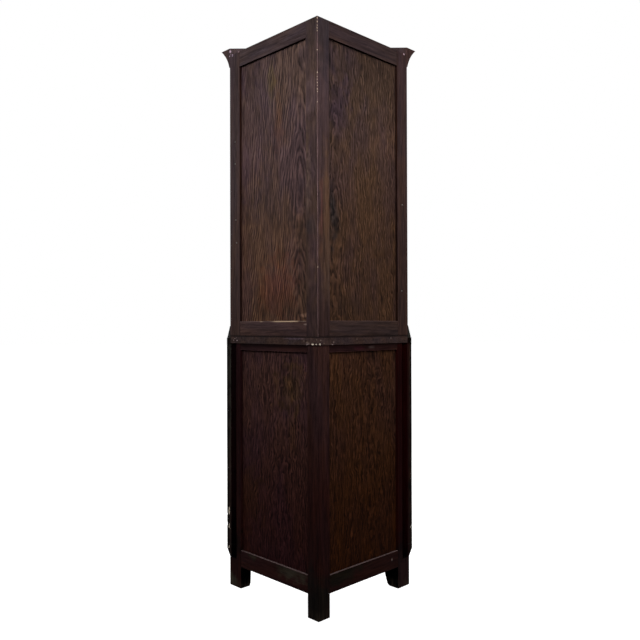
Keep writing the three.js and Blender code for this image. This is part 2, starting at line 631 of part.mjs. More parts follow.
// The four members of a door frame that is hung in an opening: hinge stile, free stile and two rails
function addDoorFrame(door, sizes, finish, innerCuts) {
  const { front, thickness, opening, stile, bottomRail, topRail, knobLevel } = sizes;
  const depth = [front - thickness, front];
  const levels = [opening[0] + DOOR_GAP, opening[1] - DOOR_GAP];
  const hingeEdge = HINGE_SIDE * (HALF_OPENING - HINGE_GAP);
  const freeEdge = -HINGE_SIDE * (HALF_OPENING - DOOR_GAP);
  const hingeInner = hingeEdge - HINGE_SIDE * stile;
  const freeInner = freeEdge + HINGE_SIDE * stile;
  const inner = [hingeInner, freeInner].sort((a, b) => a - b);
  const bottomLevels = [levels[0], levels[0] + bottomRail];
  const topLevels = [levels[1] - topRail, levels[1]];
  const sight = { across: inner, levels: [bottomLevels[1], topLevels[0]] };
  const cuts = [mortises(inner, depth, bottomLevels), mortises(inner, depth, topLevels), ...innerCuts(sight, depth)];
  const recesses = hingeLevels(opening).map((level) => leafRecess(front, level, -1));
  const hole = shankHole(knobPlace(stile), front, knobLevel);
  const hingeStile = frontBlock([hingeEdge, hingeInner], depth, levels);
  const freeStile = frontBlock([freeEdge, freeInner], depth, levels);
  add(`${door}_door_hinge_stile`, cut(hingeStile, [...cuts, ...recesses]), finish);
  add(`${door}_door_free_stile`, cut(freeStile, [...cuts, hole]), finish);
  const railCuts = innerCuts(sight, depth);
  add(`${door}_door_bottom_rail`, cut(tenonedRail(inner, depth, bottomLevels), railCuts), finish);
  add(`${door}_door_top_rail`, cut(tenonedRail(inner, depth, topLevels), railCuts), finish);
  add(`${door}_door_knob`, knob(knobPlace(stile), front, knobLevel), BRASS);
  addHinges(door, front, opening);
  return { sight, depth };
}

function addGlazedDoor() {
  const glassFront = UPPER_FRONT - GLAZING_LIP - FIT;
  const sizes = {
    front: UPPER_FRONT,
    thickness: FACE,
    opening: [UPPER_OPENING_BOTTOM, UPPER_OPENING_TOP],
    stile: UPPER_DOOR_STILE,
    bottomRail: UPPER_DOOR_BOTTOM_RAIL,
    topRail: UPPER_DOOR_TOP_RAIL,
    knobLevel: UPPER_OPENING_BOTTOM + KNOB_RISES.upper,
  };
  const widened = ([low, high], by) => [low - by, high + by];
  const rebate = (sight, depth) => [
    frontBlock(
      widened(sight.across, REBATE_WIDTH),
      [depth[0] - OVERRUN, UPPER_FRONT - GLAZING_LIP],
      widened(sight.levels, REBATE_WIDTH),
    ),
  ];
  const { sight } = addDoorFrame("upper", sizes, LACQUER, rebate);
  const edge = REBATE_WIDTH - GLASS_PLAY;
  const pane = frontBlock(widened(sight.across, edge), [glassFront - GLASS, glassFront], widened(sight.levels, edge));
  add("upper_door_glass", pane, CLEAR_GLASS);

  const depth = [UPPER_FRONT - GLAZING_LIP, UPPER_FRONT - FIT];
  const [left, right] = [sight.across[0] + FIT, sight.across[1] - FIT];
  const [low, high] = [sight.levels[0] + FIT, sight.levels[1] - FIT];
  const bars = [];
  for (let i = 1; i < PANE_COLUMNS; i += 1) {
    const middle = left + ((right - left) * i) / PANE_COLUMNS;
    bars.push(frontBlock([middle - GLAZING_BAR / 2, middle + GLAZING_BAR / 2], depth, [low, high]));
  }
  for (let i = 1; i < PANE_ROWS; i += 1) {
    const middle = low + ((high - low) * i) / PANE_ROWS;
    bars.push(frontBlock([left, right], depth, [middle - GLAZING_BAR / 2, middle + GLAZING_BAR / 2]));
  }
  add("upper_door_glazing_bars", join(bars), LACQUER);
}

// A flat panel with a raised field on its front, whose edges slope down to the flat margin
function fieldedPanel(across, levels, out) {
  const board = frontBlock(across, [out, out + DOOR_PANEL], levels);
  const width = across[1] - across[0] - 2 * (GROOVE_DEPTH + FIELD_MARGIN);
  const height = levels[1] - levels[0] - 2 * (GROOVE_DEPTH + FIELD_MARGIN);
  const field = new THREE.BoxGeometry(width, FIELD_RAISE + FIT, height);
  const place = field.attributes.position;
  const narrowed = 1 - (2 * FIELD_BEVEL) / width;
  const lowered = 1 - (2 * FIELD_BEVEL) / height;
  for (let i = 0; i < place.count; i += 1) {
    if (place.getY(i) < 0) place.setXYZ(i, place.getX(i) * narrowed, place.getY(i), place.getZ(i) * lowered);
  }
  const fieldMiddle = out + DOOR_PANEL + (FIELD_RAISE - FIT) / 2;
  field.translate((across[0] + across[1]) / 2, -fieldMiddle, (levels[0] + levels[1]) / 2);
  return join([board, field]);
}

function addPanelledDoor() {
  const sizes = {
    front: FACADE_FRONT,
    thickness: FACADE,
    opening: [BASE_RAIL_TOP, LOWER_OPENING_TOP],
    stile: LOWER_DOOR_STILE,
    bottomRail: LOWER_DOOR_BOTTOM_RAIL,
    topRail: LOWER_DOOR_TOP_RAIL,
    knobLevel: BASE_RAIL_TOP + KNOB_RISES.lower,
  };
  const widened = ([low, high], by) => [low - by, high + by];
  const groove = (sight, depth) => {
    const back = depth[0] + DOOR_PANEL_SET;
    const slot = [back - FIT, back + DOOR_PANEL + FIT];
    return [frontBlock(widened(sight.across, GROOVE_DEPTH), slot, widened(sight.levels, GROOVE_DEPTH))];
  };
  const { sight, depth } = addDoorFrame("lower", sizes, LACQUER, groove);
  const reach = GROOVE_DEPTH - PANEL_PLAY;
  const panel = fieldedPanel(widened(sight.across, reach), widened(sight.levels, reach), depth[0] + DOOR_PANEL_SET);
  add("lower_door_panel", panel, LACQUER);
}

addUpperWalls();
addLowerWalls();
addBoards();
addUpperFaceFrame();
addFacade();
addMouldings();
addGlazedDoor();
addPanelledDoor();

export default cupboard;
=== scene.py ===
import json
import math
from contextlib import contextmanager

import bmesh
import bpy
from bpy.props import FloatProperty, FloatVectorProperty, PointerProperty
from mathutils import Matrix, Vector

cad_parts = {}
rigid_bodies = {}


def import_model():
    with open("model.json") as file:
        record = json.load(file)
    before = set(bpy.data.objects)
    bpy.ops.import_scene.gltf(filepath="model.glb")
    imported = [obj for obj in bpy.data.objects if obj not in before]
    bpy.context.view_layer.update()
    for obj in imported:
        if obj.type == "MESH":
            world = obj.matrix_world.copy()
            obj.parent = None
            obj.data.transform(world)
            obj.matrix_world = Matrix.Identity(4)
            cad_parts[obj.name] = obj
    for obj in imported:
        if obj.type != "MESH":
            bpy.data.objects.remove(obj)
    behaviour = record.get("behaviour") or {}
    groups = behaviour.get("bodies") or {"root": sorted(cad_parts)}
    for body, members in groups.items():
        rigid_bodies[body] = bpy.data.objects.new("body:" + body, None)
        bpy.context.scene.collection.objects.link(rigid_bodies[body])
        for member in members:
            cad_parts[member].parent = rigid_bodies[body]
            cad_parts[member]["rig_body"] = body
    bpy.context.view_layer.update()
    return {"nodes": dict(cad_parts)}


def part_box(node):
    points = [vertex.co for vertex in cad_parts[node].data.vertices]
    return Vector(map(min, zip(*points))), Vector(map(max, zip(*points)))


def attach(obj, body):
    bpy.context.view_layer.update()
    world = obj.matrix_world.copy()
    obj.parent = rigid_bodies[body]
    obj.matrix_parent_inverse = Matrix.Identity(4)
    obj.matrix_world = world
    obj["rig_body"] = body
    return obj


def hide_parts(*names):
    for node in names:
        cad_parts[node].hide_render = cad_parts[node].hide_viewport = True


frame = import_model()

bl_info = {
    "name": "Corner cupboard",
    "version": (1, 0, 0),
    "blender": (4, 5, 0),
    "location": "View3D > Sidebar > Cupboard",
    "description": "Dresses a two-part corner cupboard: eased and chipped woodwork, fittings, finishes and a studio",
    "category": "Object",
}

MM = 0.001
LEFT, RIGHT = -1, 1
HANDS = {"left": LEFT, "right": RIGHT}
CASES = ("upper", "lower")
UP = (0, 0, 1)

# The back corner's upright line, and the planes that the small pieces sit on, all read from the fixed frame
CORNER_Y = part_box("upper_corner_post")[1].y
FACE_FRONT_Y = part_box("upper_face_left_stile")[0].y
FACADE_FRONT_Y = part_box("facade_left_stile")[0].y
# Where the facade's front edge lies along a wall, in millimetres from the back corner
FACADE_EDGE = (CORNER_Y - FACADE_FRONT_Y) / MM * math.sqrt(2)

BASE, ROUGH, SPECULAR = "Base Color", "Roughness", "Specular IOR Level"
WOOD_IOR, LACQUER_IOR, GLASS_IOR = 1.47, 1.52, 1.52


def wall_place(side, along, inward, level):
    """A place on a back wall, in metres, from millimetres along the wall, in from its face and up from the floor."""
    across = side * (along - inward) / math.sqrt(2)
    out = (along + inward) / math.sqrt(2)
    return Vector((across * MM, CORNER_Y - out * MM, level * MM))


def wall_normal(side):
    return Vector((side, 1, 0)).normalized()


def linear(colour):
    """A hex colour as it is seen, turned to the linear values that a shader takes."""
    channels = [int(colour[i:i + 2], 16) / 255 for i in (1, 3, 5)]
    return [c / 12.92 if c <= 0.04045 else ((c + 0.055) / 1.055) ** 2.4 for c in channels] + [1.0]


def shade(colour, stain=None):
    """A colour from a table: a hex value, a share of each channel of a stain, or a colour that is ready."""
    if isinstance(colour, str):
        return linear(colour)
    return [channel * share for channel, share in zip(stain, colour)] + [1.0] if stain else colour


def times(colour, factor):
    return [channel * factor for channel in colour[:3]] + [1.0]


def grey(level):
    return [level, level, level, 1.0]


def marks_at(rows, stain=None, inward=0):
    """Marks on the walls, as (centre, radii, colour, strength), from rows in millimetres: (wall, along it, level,
    reach across, reach up, colour, strength), and how far in from the wall's face where that isn't the usual."""
    return [
        (wall_place(side, along, own[0] if own else inward, level), (across * MM, across * MM, up * MM),
         shade(colour, stain), strength)
        for side, along, level, across, up, colour, strength, *own in rows
    ]


def swatch(name, description, colour):
    return FloatVectorProperty(
        name=name, description=description, default=linear(colour), size=4, min=0, max=1, subtype="COLOR"
    )


def length(name, description, default):
    return FloatProperty(name=name, description=description, default=default, min=0, unit="LENGTH")


class CupboardFinish(bpy.types.PropertyGroup):
    """Colours and sizes of the woodwork"""

    upper_stain: swatch("Upper stain", "Walnut stain on the posts and rails of the upper case", "#3e2f2d")
    # The lower stain and fir are darker than the upper ones partly in their own colour and partly as painted shade,
    # for the dimmer light low down
    lower_stain: swatch("Lower stain", "The same stain on the lower case, darker with age", "#2a1a19")
    upper_fir: swatch("Upper fir", "Stained fir plywood of the upper case", "#44322b")
    lower_fir: swatch("Lower fir", "Stained fir plywood of the lower case", "#33201a")
    lacquer: swatch("Lacquer", "Black lacquer of the front", "#191714")
    gesso: swatch("Gesso", "Chalk ground that shows where the lacquer is chipped", "#cbbfae")
    bare_wood: swatch("Bare wood", "Fresh wood in a chip of the stained frame", "#b09a88")
    dust: swatch("Dust", "What settles on a ledge", "#7f6c6b")
    pine: swatch("Pine", "Unfinished boards inside", "#7a5b3e")
    brass: swatch("Brass", "Aged brass of the knobs and hinges", "#9a7b42")
    ease: length("Eased edge", "How far the sharp edges of the woodwork are rubbed down", 0.9 * MM)
    foot_ease: length("Worn foot", "How far the edges under the feet are worn round", 2.4 * MM)
    grain_spacing: length("Grain spacing", "Distance between two dark lines of the fir's grain", 9.0 * MM)


class CupboardStudio(bpy.types.PropertyGroup):
    """Light and camera"""

    key_power: FloatProperty(name="Key light", description="Power of the lamp behind", default=16, min=0, unit="POWER")
    front_power: FloatProperty(name="Front", description="Power of the front lamps", default=48, min=0, unit="POWER")
    air: FloatProperty(name="Room light", description="Strength of the even light all round", default=0.18, min=0)
    focal_length: FloatProperty(name="Focal length", description="Millimetres on a 36 mm frame", default=38.965, min=1)


def put(tree, kind, inputs=(), out=0, **settings):
    """Adds a node with its settings and links, and gives one of its outputs. An input is a value, or a socket to link
    it to, and goes by its name or its number. The stops of a colour ramp are (place, colour) pairs."""
    made = tree.nodes.new("ShaderNode" + kind)
    stops = settings.pop("stops", ())
    while stops and len(made.color_ramp.elements) < len(stops):
        made.color_ramp.elements.new(0.5)
    for i, (place, colour) in enumerate(stops):
        made.color_ramp.elements[i].position = place
        made.color_ramp.elements[i].color = shade(colour)
    for name, value in settings.items():
        setattr(made, name, value)
    for key, value in inputs.items() if isinstance(inputs, dict) else enumerate(inputs):
        if isinstance(value, bpy.types.NodeSocket):
            tree.links.new(value, made.inputs[key])
        else:
            made.inputs[key].default_value = value
    return made.outputs[out] if made.outputs else None


def empty_tree(owner):
    """The node tree of a material or a world, with nothing in it yet."""
    owner.use_nodes = True
    owner.node_tree.nodes.clear()
    return owner.node_tree


def new_material(name):
    material = bpy.data.materials.new(name)
    return material, empty_tree(material)


def surfaced(material, inputs, bumps=None):
    """Gives a material its surface shader, with its bumps as (height, strength, distance in millimetres)."""
    tree = material.node_tree
    if bumps:
        height, strength, distance = bumps
        bump = put(tree, "Bump", {"Height": height, "Strength": strength, "Distance": distance * MM})
        inputs = {**inputs, "Normal": bump}
    put(tree, "OutputMaterial", [put(tree, "BsdfPrincipled", inputs)])
    return material


# How the grain lies: the turn that brings a member's length to the X axis
GRAIN = {
    "upright": (0, math.radians(90), 0),
    "across": (0, 0, 0),
    "right_wall": (0, 0, math.radians(45)),
    "left_wall": (0, 0, math.radians(-45)),
}


def level_of(tree):
    return put(tree, "SeparateXYZ", [put(tree, "TexCoord", out="Object")], "Z")


def grain_space(tree, grain, seed):
    """Object coordinates with X along the grain. The seed moves the pattern, so that no two boards are alike."""
    place = put(tree, "TexCoord", out="Object")
    return put(tree, "Mapping", {"Vector": place, "Rotation": GRAIN[grain], "Location": (seed, 0, seed)})


def speckle(tree, scale, detail, roughness=0.5, seed=0):
    """Noise that is alike in every direction."""
    moved = put(tree, "Mapping", {"Vector": put(tree, "TexCoord", out="Object"), "Location": (seed, seed, seed)})
    return put(tree, "TexNoise", {"Vector": moved, "Scale": scale, "Detail": detail, "Roughness": roughness})


def drawn_noise(tree, space, stretch, detail, roughness=0.5, distortion=0.0, span=None):
    """Noise that is drawn out by a stretch for each axis. A span, from low to high, is brought to the whole range
    from 0 to 1, or to the range that its last two numbers give."""
    drawn = put(tree, "Mapping", {"Vector": space, "Scale": stretch})
    values = {"Vector": drawn, "Scale": 1.0, "Detail": detail, "Roughness": roughness, "Distortion": distortion}
    noise = put(tree, "TexNoise", values)
    return put(tree, "MapRange", [noise, *span]) if span else noise


def streaks(tree, space, long_mm, wide_mm, *character, span=None):
    """Noise drawn out along the grain, with features of about that length and width."""
    stretch = (1 / (long_mm * MM), 1 / (wide_mm * MM), 1 / (wide_mm * MM))
    return drawn_noise(tree, space, stretch, *character, span=span)


def weighed(tree, *parts):
    """The sum of (value, weight) pairs."""
    total = 0.0
    for value, weight in parts:
        total = put(tree, "Math", [value, weight, total], operation="MULTIPLY_ADD")
    return total


def laid_over(tree, base, mask, colour, strength=1.0):
    """A colour that lies on another one where the mask says so, with so much strength."""
    share = put(tree, "Math", [mask, strength], operation="MULTIPLY")
    return put(tree, "Mix", {0: share, 6: base, 7: shade(colour)}, 2, data_type="RGBA")


def tinted(tree, ground, mask, tint, elsewhere=(1, 1, 1)):
    """The ground times a share of each channel: the tint where the mask is full, another one where it is empty."""
    share = put(tree, "Mix", {0: mask, 4: elsewhere, 5: tint}, 1, data_type="VECTOR")
    return put(tree, "VectorMath", [ground, share], operation="MULTIPLY")


def faded_and_shaded(tree, colours, levels):
    """The colour goes over from one shade at a higher level to another at a lower one. This is partly the finish's own
    change and partly painted light and shade: lighter where more light fell above, darker where less fell below.
    """
    share = put(tree, "MapRange", [level_of(tree), *levels], interpolation_type="SMOOTHSTEP")
    return laid_over(tree, colours[0], share, colours[1])


def dust_mask(tree, space):
    """Where dust settles: on faces that look up, in soft patches."""
    upward = put(tree, "SeparateXYZ", [put(tree, "NewGeometry", out="Normal")], "Z")
    flat = put(tree, "MapRange", [upward, 0.6, 0.95])
    patches = streaks(tree, space, 45, 30, 3.0, span=(0.3, 0.7, 0.45, 1.0))
    return put(tree, "Math", [flat, patches], operation="MULTIPLY")


def scuff_mask(tree, space):
    """Where feet and mops reach: the lowest inch above the floor, in dry smears."""
    low = put(tree, "MapRange", [level_of(tree), 35 * MM, 4 * MM])
    smears = streaks(tree, space, 40, 12, 4.0, 0.65, span=(0.42, 0.62))
    return put(tree, "Math", [low, smears], operation="MULTIPLY")


def patch_mask(tree, centre, radii):
    """A soft patch round a place. Its edge is broken up by noise."""
    away = put(tree, "VectorMath", [put(tree, "TexCoord", out="Object"), centre], operation="SUBTRACT")
    share = put(tree, "VectorMath", [away, radii], operation="DIVIDE")
    reach = put(tree, "VectorMath", [share], "Value", operation="LENGTH")
    ragged = put(tree, "MapRange", [speckle(tree, 28.0, 4.0), 0.3, 0.7, 0.5, 1.5])
    outline = put(tree, "Math", [reach, ragged], operation="MULTIPLY")
    return put(tree, "MapRange", [outline, 1.0, 0.25], interpolation_type="SMOOTHSTEP")


def marked(tree, base, marks):
    """Scuffs and spots that lie on the finish at known places: (centre, radii, colour, strength)."""
    for centre, radii, colour, strength in marks:
        base = laid_over(tree, base, patch_mask(tree, centre, radii), colour, strength)
    return base


def stained_wood(name, grain, colours, levels, seed, marks, waist_shadow, sheen, dusty):
    """Close-grained hardwood under a walnut stain, planed and wiped: long soft streaks, short dark pores, a dull satin
    film that is drier where hands and dust have been, and a band of painted shadow in the corner at the waist board."""
    material, tree = new_material(name)
    space = grain_space(tree, grain, seed)
    ground = marked(tree, faded_and_shaded(tree, colours, levels), marks)
    fibre = streaks(tree, space, 80, 6, 3.0, 0.6)
    fine = streaks(tree, space, 36, 3, 2.0, 0.6)
    tone = streaks(tree, space, 420, 20, 2.0)
    lines = put(tree, "MapRange", [weighed(tree, (fibre, 0.45), (fine, 0.25), (tone, 0.3)), 0.38, 0.62])
    base = tinted(tree, ground, lines, (1.52, 1.54, 1.52), (0.48, 0.44, 0.46))
    # The stain took unevenly: redder clouds a hand wide
    cloud = streaks(tree, space, 240, 34, 3.0, span=(0.4, 0.62))
    base = tinted(tree, base, cloud, (1.1, 1.03, 0.92), (0.92, 0.95, 1.06))
    # Open pores, drawn about three times as wide as real ones so that they show
    pores = streaks(tree, space, 14, 1.4, 2.0, 0.7, span=(0.6, 0.72))
    base = tinted(tree, base, pores, (0.55, 0.5, 0.5))
    # Fine dry scratches
    scratch = streaks(tree, space, 34, 1.0, 1.0, 0.4, 0.6, span=(0.68, 0.75))
    base = tinted(tree, base, scratch, (1.7, 1.75, 1.75))
    # Painted shadow: a dark band between the given levels, in the corner at the waist board
    base = tinted(tree, base, put(tree, "MapRange", [level_of(tree), *waist_shadow]), (0.3, 0.25, 0.25))
    base = laid_over(tree, base, scuff_mask(tree, space), "#3f352c", 0.6)
    base = laid_over(tree, base, dust_mask(tree, space), "#8d7c70", dusty)
    roughness = put(tree, "MapRange", [tone, 0.3, 0.7, 0.45, 0.64])
    relief = weighed(tree, (fibre, 1.0), (pores, -0.8))
    return surfaced(material, {BASE: base, ROUGH: roughness, "IOR": WOOD_IOR, SPECULAR: sheen}, (relief, 0.35, 0.25))


def worn_and_lit_arris(name, grain, stain, under, seed, share=0.5, marks=()):
    """The narrow rounded edge of a stained or lacquered member, painted lighter: partly the finish that handling
    rubbed thin, partly a painted highlight where the edge catches the light. In places it is rubbed through to what
    lies under it."""
    material, tree = new_material(name)
    space = grain_space(tree, grain, seed)
    # Partly painted highlight: the edge is made lighter where the noise says, as well as rubbed thin
    thin = streaks(tree, space, 60, 8, 3.0, span=(0.35, 0.65))
    base = laid_over(tree, times(stain, 1.1), thin, times(stain, 2.5), 0.75)
    through = streaks(tree, space, 14, 5, 4.0, 0.7, span=(0.78 - 0.2 * share, 0.9 - 0.2 * share))
    base = marked(tree, laid_over(tree, base, through, under), marks)
    return surfaced(material, {BASE: base, ROUGH: 0.58, SPECULAR: 0.08})


def dusty_ledge(name, dust, under, seed, marks=()):
    """A ledge that is never wiped: a felt of grey house dust, thin in places over the stain."""
    material, tree = new_material(name)
    felt = speckle(tree, 90.0, 5.0, 0.7, seed)
    cover = put(tree, "MapRange", [felt, 0.3, 0.55, 0.35, 1.0])
    base = marked(tree, laid_over(tree, under, cover, dust), marks)
    return surfaced(material, {BASE: base, ROUGH: 0.95, SPECULAR: 0.05}, (felt, 0.5, 0.3))


def stained_fir(name, side, sight_edge, figure, colours, levels, spacing, seed, stains=(), marks=(), sheen=0.07,
                contrast=1.0):
    """Douglas fir under the same stain, cut nearly flat to the growth rings as plywood is. They climb the board in
    long flames up its heart line and run straighter beside it. They waver all the way, and the pores break them
    into short dashes. The hard late wood took less stain and shows lighter."""
    heart, climb, curl = figure
    material, tree = new_material(name)
    place = put(tree, "TexCoord", out="Object")
    wall = put(tree, "Mapping", {"Vector": place, "Rotation": (0, 0, math.radians(45) * side)})
    parts = put(tree, "SeparateXYZ", [wall]).node.outputs
    # How far a point lies out from the back corner, along the wall
    outward = put(tree, "Math", [parts["X"], side, CORNER_Y / math.sqrt(2)], operation="MULTIPLY_ADD")
    # One flat coordinate across the sheet and one up it: the sheet's thickness is left out
    flat = put(tree, "CombineXYZ", [parts["X"], 0.0, parts["Z"]])
    moved = put(tree, "Mapping", {"Vector": flat, "Location": (seed, seed, seed * 2.7)})

    def drawn(wide_mm, long_mm, *character, span=None):
        stretch = (1 / (wide_mm * MM), 1.0, 1 / (long_mm * MM))
        return drawn_noise(tree, moved, stretch, *character, span=span)

    # The sheet's ring number: it grows with the distance from the heart line and up it, and swells and sinks
    off_heart = put(tree, "Math", [outward, heart * MM], operation="SUBTRACT")
    squared = put(tree, "Math", [off_heart, off_heart, (30 * MM) ** 2], operation="MULTIPLY_ADD")
    reach = put(tree, "Math", [squared, 0.5], operation="POWER")
    swell, ripple = drawn(110, 380, 1.5), drawn(22, 46, 2.0)
    rings = weighed(tree, (reach, 1 / spacing), (parts["Z"], 1 / (climb * MM)), (swell, 6.0), (ripple, curl))
    # Early wood darkens slowly into a hard light line, then falls back at once
    ring_stops = [(0.0, grey(0.0)), (0.35, grey(0.45)), (0.65, grey(1.0)), (0.82, grey(0.6)), (0.95, grey(0.0))]
    whole = put(tree, "ValToRGB", [put(tree, "Math", [rings], operation="FRACT")], stops=ring_stops)
    # Noise laid out by ring number, so that the dashes follow the rings
    by_ring = put(tree, "CombineXYZ", [rings, 0.0, parts["Z"]])
    dash = drawn_noise(tree, by_ring, (1.1, 1.0, curl / (110 * MM)), 1.5, span=(0.36, 0.62, 0.4, 1.15))
    late = put(tree, "Math", [whole, dash], operation="MULTIPLY")
    # The fibre is drawn about three times as coarse as it is, so that it shows
    coarse, fine = drawn(6, 60, 1.0, 0.6), drawn(3, 22, 1.0, 0.6)
    fibre = put(tree, "MapRange", [weighed(tree, (coarse, 0.6), (fine, 0.4)), 0.36, 0.64])
    fade = drawn(60, 160, 2.0, span=(0.35, 0.65, 0.4, 0.8))
    lines = put(tree, "Mix", {0: fade, 2: fibre, 3: late})
    lines = put(tree, "MapRange", [lines, 0.0, 1.0, 0.45 * (1 - contrast), 0.45 + 0.55 * contrast])
    ground = marked(tree, faded_and_shaded(tree, colours, levels), marks)
    # Clouds where the stain pooled, more purple than the rest
    cloud = drawn(110, 260, 3.0, 0.6, span=(0.42, 0.6))
    ground = tinted(tree, ground, cloud, (0.92, 0.93, 1.14), (1.06, 1.04, 0.92))
    # Patches of tint: stains, and the greyer, darker ones are painted shade
    for centre, radii, tint, strength in stains:
        mask = put(tree, "Math", [patch_mask(tree, centre, radii), strength], operation="MULTIPLY")
        ground = tinted(tree, ground, mask, tint)
    base = tinted(tree, ground, lines, (2.46, 2.41, 2.22), (0.17, 0.17, 0.21))
    # Painted shadow: dark along the sheet's outer edge, where the stile beside it shades it
    edge_shadow = put(tree, "MapRange", [outward, sight_edge - 5 * MM, sight_edge - 1 * MM])
    base = tinted(tree, base, edge_shadow, (0.4, 0.36, 0.36))
    checks = drawn(1.6, 30, 1.0, 0.4, span=(0.68, 0.74))
    base = tinted(tree, base, checks, (0.6, 0.6, 0.6))
    roughness = put(tree, "MapRange", [late, 0.0, 1.0, 0.62, 0.5])
    relief = weighed(tree, (late, 0.6), (fibre, 1.0))
    return surfaced(material, {BASE: base, ROUGH: roughness, "IOR": WOOD_IOR, SPECULAR: sheen}, (relief, 0.4, 0.3))


def black_lacquer(name, grain, colour, seed):
    """Brushed black lacquer over gesso, rubbed to a soft gloss. Time has turned it slightly green-brown and left
    fine rubbing marks and a faint ripple from the brush."""
    material, tree = new_material(name)
    space = grain_space(tree, grain, seed)
    brush = streaks(tree, space, 130, 3.0, 3.0, 0.55)
    cloud = streaks(tree, space, 150, 110, 3.0)
    shades = [(0.35, times(colour, 0.75)), (0.55, colour), (0.72, shade((1.45, 1.5, 1.25), colour))]
    base = put(tree, "ValToRGB", [cloud], stops=shades)
    rubbed = streaks(tree, space, 26, 0.9, 2.0, 0.5, 0.8, span=(0.66, 0.74))
    base = laid_over(tree, base, rubbed, "#4a4238", 0.4)
    base = laid_over(tree, base, scuff_mask(tree, space), "#504a42", 0.35)
    base = laid_over(tree, base, dust_mask(tree, space), "#7e766c", 0.45)
    roughness = put(tree, "MapRange", [brush, 0.3, 0.7, 0.24, 0.4])
    ripple = weighed(tree, (brush, 1.0), (cloud, 2.5))
    return surfaced(material, {BASE: base, ROUGH: roughness, "IOR": LACQUER_IOR, SPECULAR: 0.25}, (ripple, 0.25, 0.2))


def bare_pine(name, grain, colour, seed):
    """Planed pine that was never finished, gone brown in the dark: broad flat-sawn rings, fine fibre, dull."""
    material, tree = new_material(name)
    space = grain_space(tree, grain, seed)
    sway = put(tree, "Math", [streaks(tree, space, 600, 70, 1.5), 9.0], operation="MULTIPLY")
    across = put(tree, "SeparateXYZ", [space], "Y")
    rings = put(tree, "Math", [across, 1 / (11 * MM), sway], operation="MULTIPLY_ADD")
    shades = [(0.0, times(colour, 1.12)), (0.55, colour), (0.82, times(colour, 0.6)), (0.96, times(colour, 1.05))]
    base = put(tree, "ValToRGB", [put(tree, "Math", [rings], operation="FRACT")], stops=shades)
    fibre = streaks(tree, space, 60, 1.4, 3.0, 0.6)
    base = laid_over(tree, base, put(tree, "MapRange", [fibre, 0.35, 0.65]), times(colour, 0.72), 0.4)
    stain = streaks(tree, space, 120, 80, 4.0, 0.6, span=(0.5, 0.72))
    base = laid_over(tree, base, stain, times(colour, 0.5), 0.45)
    base = laid_over(tree, base, dust_mask(tree, space), "#9c8f80", 0.22)
    return surfaced(material, {BASE: base, ROUGH: 0.74, SPECULAR: 0.28}, (fibre, 0.4, 0.25))


def broken_ground(name, colour, seed):
    """Chalk gesso or fresh wood in a broken edge: matt, crumbly and a little dirty."""
    material, tree = new_material(name)
    crumbs = speckle(tree, 900.0, 5.0, 0.7, seed)
    shades = [(0.34, times(colour, 0.45)), (0.5, colour), (0.7, times(colour, 1.15))]
    base = put(tree, "ValToRGB", [crumbs], stops=shades)
    return surfaced(material, {BASE: base, ROUGH: 0.85, SPECULAR: 0.25}, (crumbs, 0.8, 0.3))


def aged_metal(name, colour, tarnish, roughness, seed):
    """Cast and turned metal that was polished once: bright where it is touched, brown in the hollows."""
    material, tree = new_material(name)
    cloud = speckle(tree, 140.0, 5.0, 0.65, seed)
    dull = put(tree, "MapRange", [cloud, 0.42, 0.66])
    base = laid_over(tree, colour, dull, tarnish, 0.8)
    worn = put(tree, "MapRange", [dull, 0.0, 1.0, roughness, roughness + 0.22])
    return surfaced(material, {BASE: base, ROUGH: worn, "Metallic": 1.0}, (cloud, 0.2, 0.1))


def window_glass(name):
    """Drawn window glass, 3 mm thick: clear, with the slow waves of old sheet glass."""
    material, tree = new_material(name)
    clear = {BASE: linear("#eef4f1"), ROUGH: 0.02, "IOR": GLASS_IOR, SPECULAR: 0.3, "Transmission Weight": 1.0}
    return surfaced(material, clear, (speckle(tree, 11.0, 1.0), 0.15, 0.6))


def putty(name):
    """Linseed putty, brushed over with the lacquer: brown-black, dull and slightly lumpy."""
    material, tree = new_material(name)
    lumps = speckle(tree, 180.0, 4.0)
    base = put(tree, "ValToRGB", [lumps], stops=[(0.35, "#221e19"), (0.65, "#3a332b")])
    return surfaced(material, {BASE: base, ROUGH: 0.7}, (lumps, 0.5, 0.4))


# The finishes that are mixed so far, by key
FINISHES = {}

# The shortest edge and the flattest angle that are eased, so that the facets of a curve and of a knuckle stay sharp
LONG_EDGE = 12 * MM
SHARP_ANGLE = math.radians(25)


def deselect():
    if bpy.context.mode != "OBJECT":
        bpy.ops.object.mode_set(mode="OBJECT")
    bpy.ops.object.select_all(action="DESELECT")


def only(piece):
    """Makes this the one selected and active object."""
    deselect()
    piece.select_set(True)
    bpy.context.view_layer.objects.active = piece


def added(operator, name, **settings):
    """The object that an operator adds, with its name"""
    deselect()
    operator(**settings)
    made = bpy.context.active_object
    made.name = name
    return made


def face_outward():
    """Turns all the faces of the mesh that is being edited to the outside."""
    bpy.ops.mesh.select_all(action="SELECT")
    bpy.ops.mesh.normals_make_consistent(inside=False)


@contextmanager
def whole_mesh(piece):
    """Edit mode on one piece, with its whole mesh selected"""
    only(piece)
    bpy.ops.object.mode_set(mode="EDIT")
    bpy.ops.mesh.select_all(action="SELECT")
    yield
    bpy.ops.object.mode_set(mode="OBJECT")


def new_piece(name, mesh):
    piece = bpy.data.objects.new(name, mesh)
    bpy.context.scene.collection.objects.link(piece)
    return piece


def modify(piece, kind, **settings):
    """Adds one modifier to a piece and applies it."""
    modifier = piece.modifiers.new(kind, kind)
    for name, value in settings.items():
        setattr(modifier, name, value)
    only(piece)
    bpy.ops.object.modifier_apply(modifier=modifier.name)


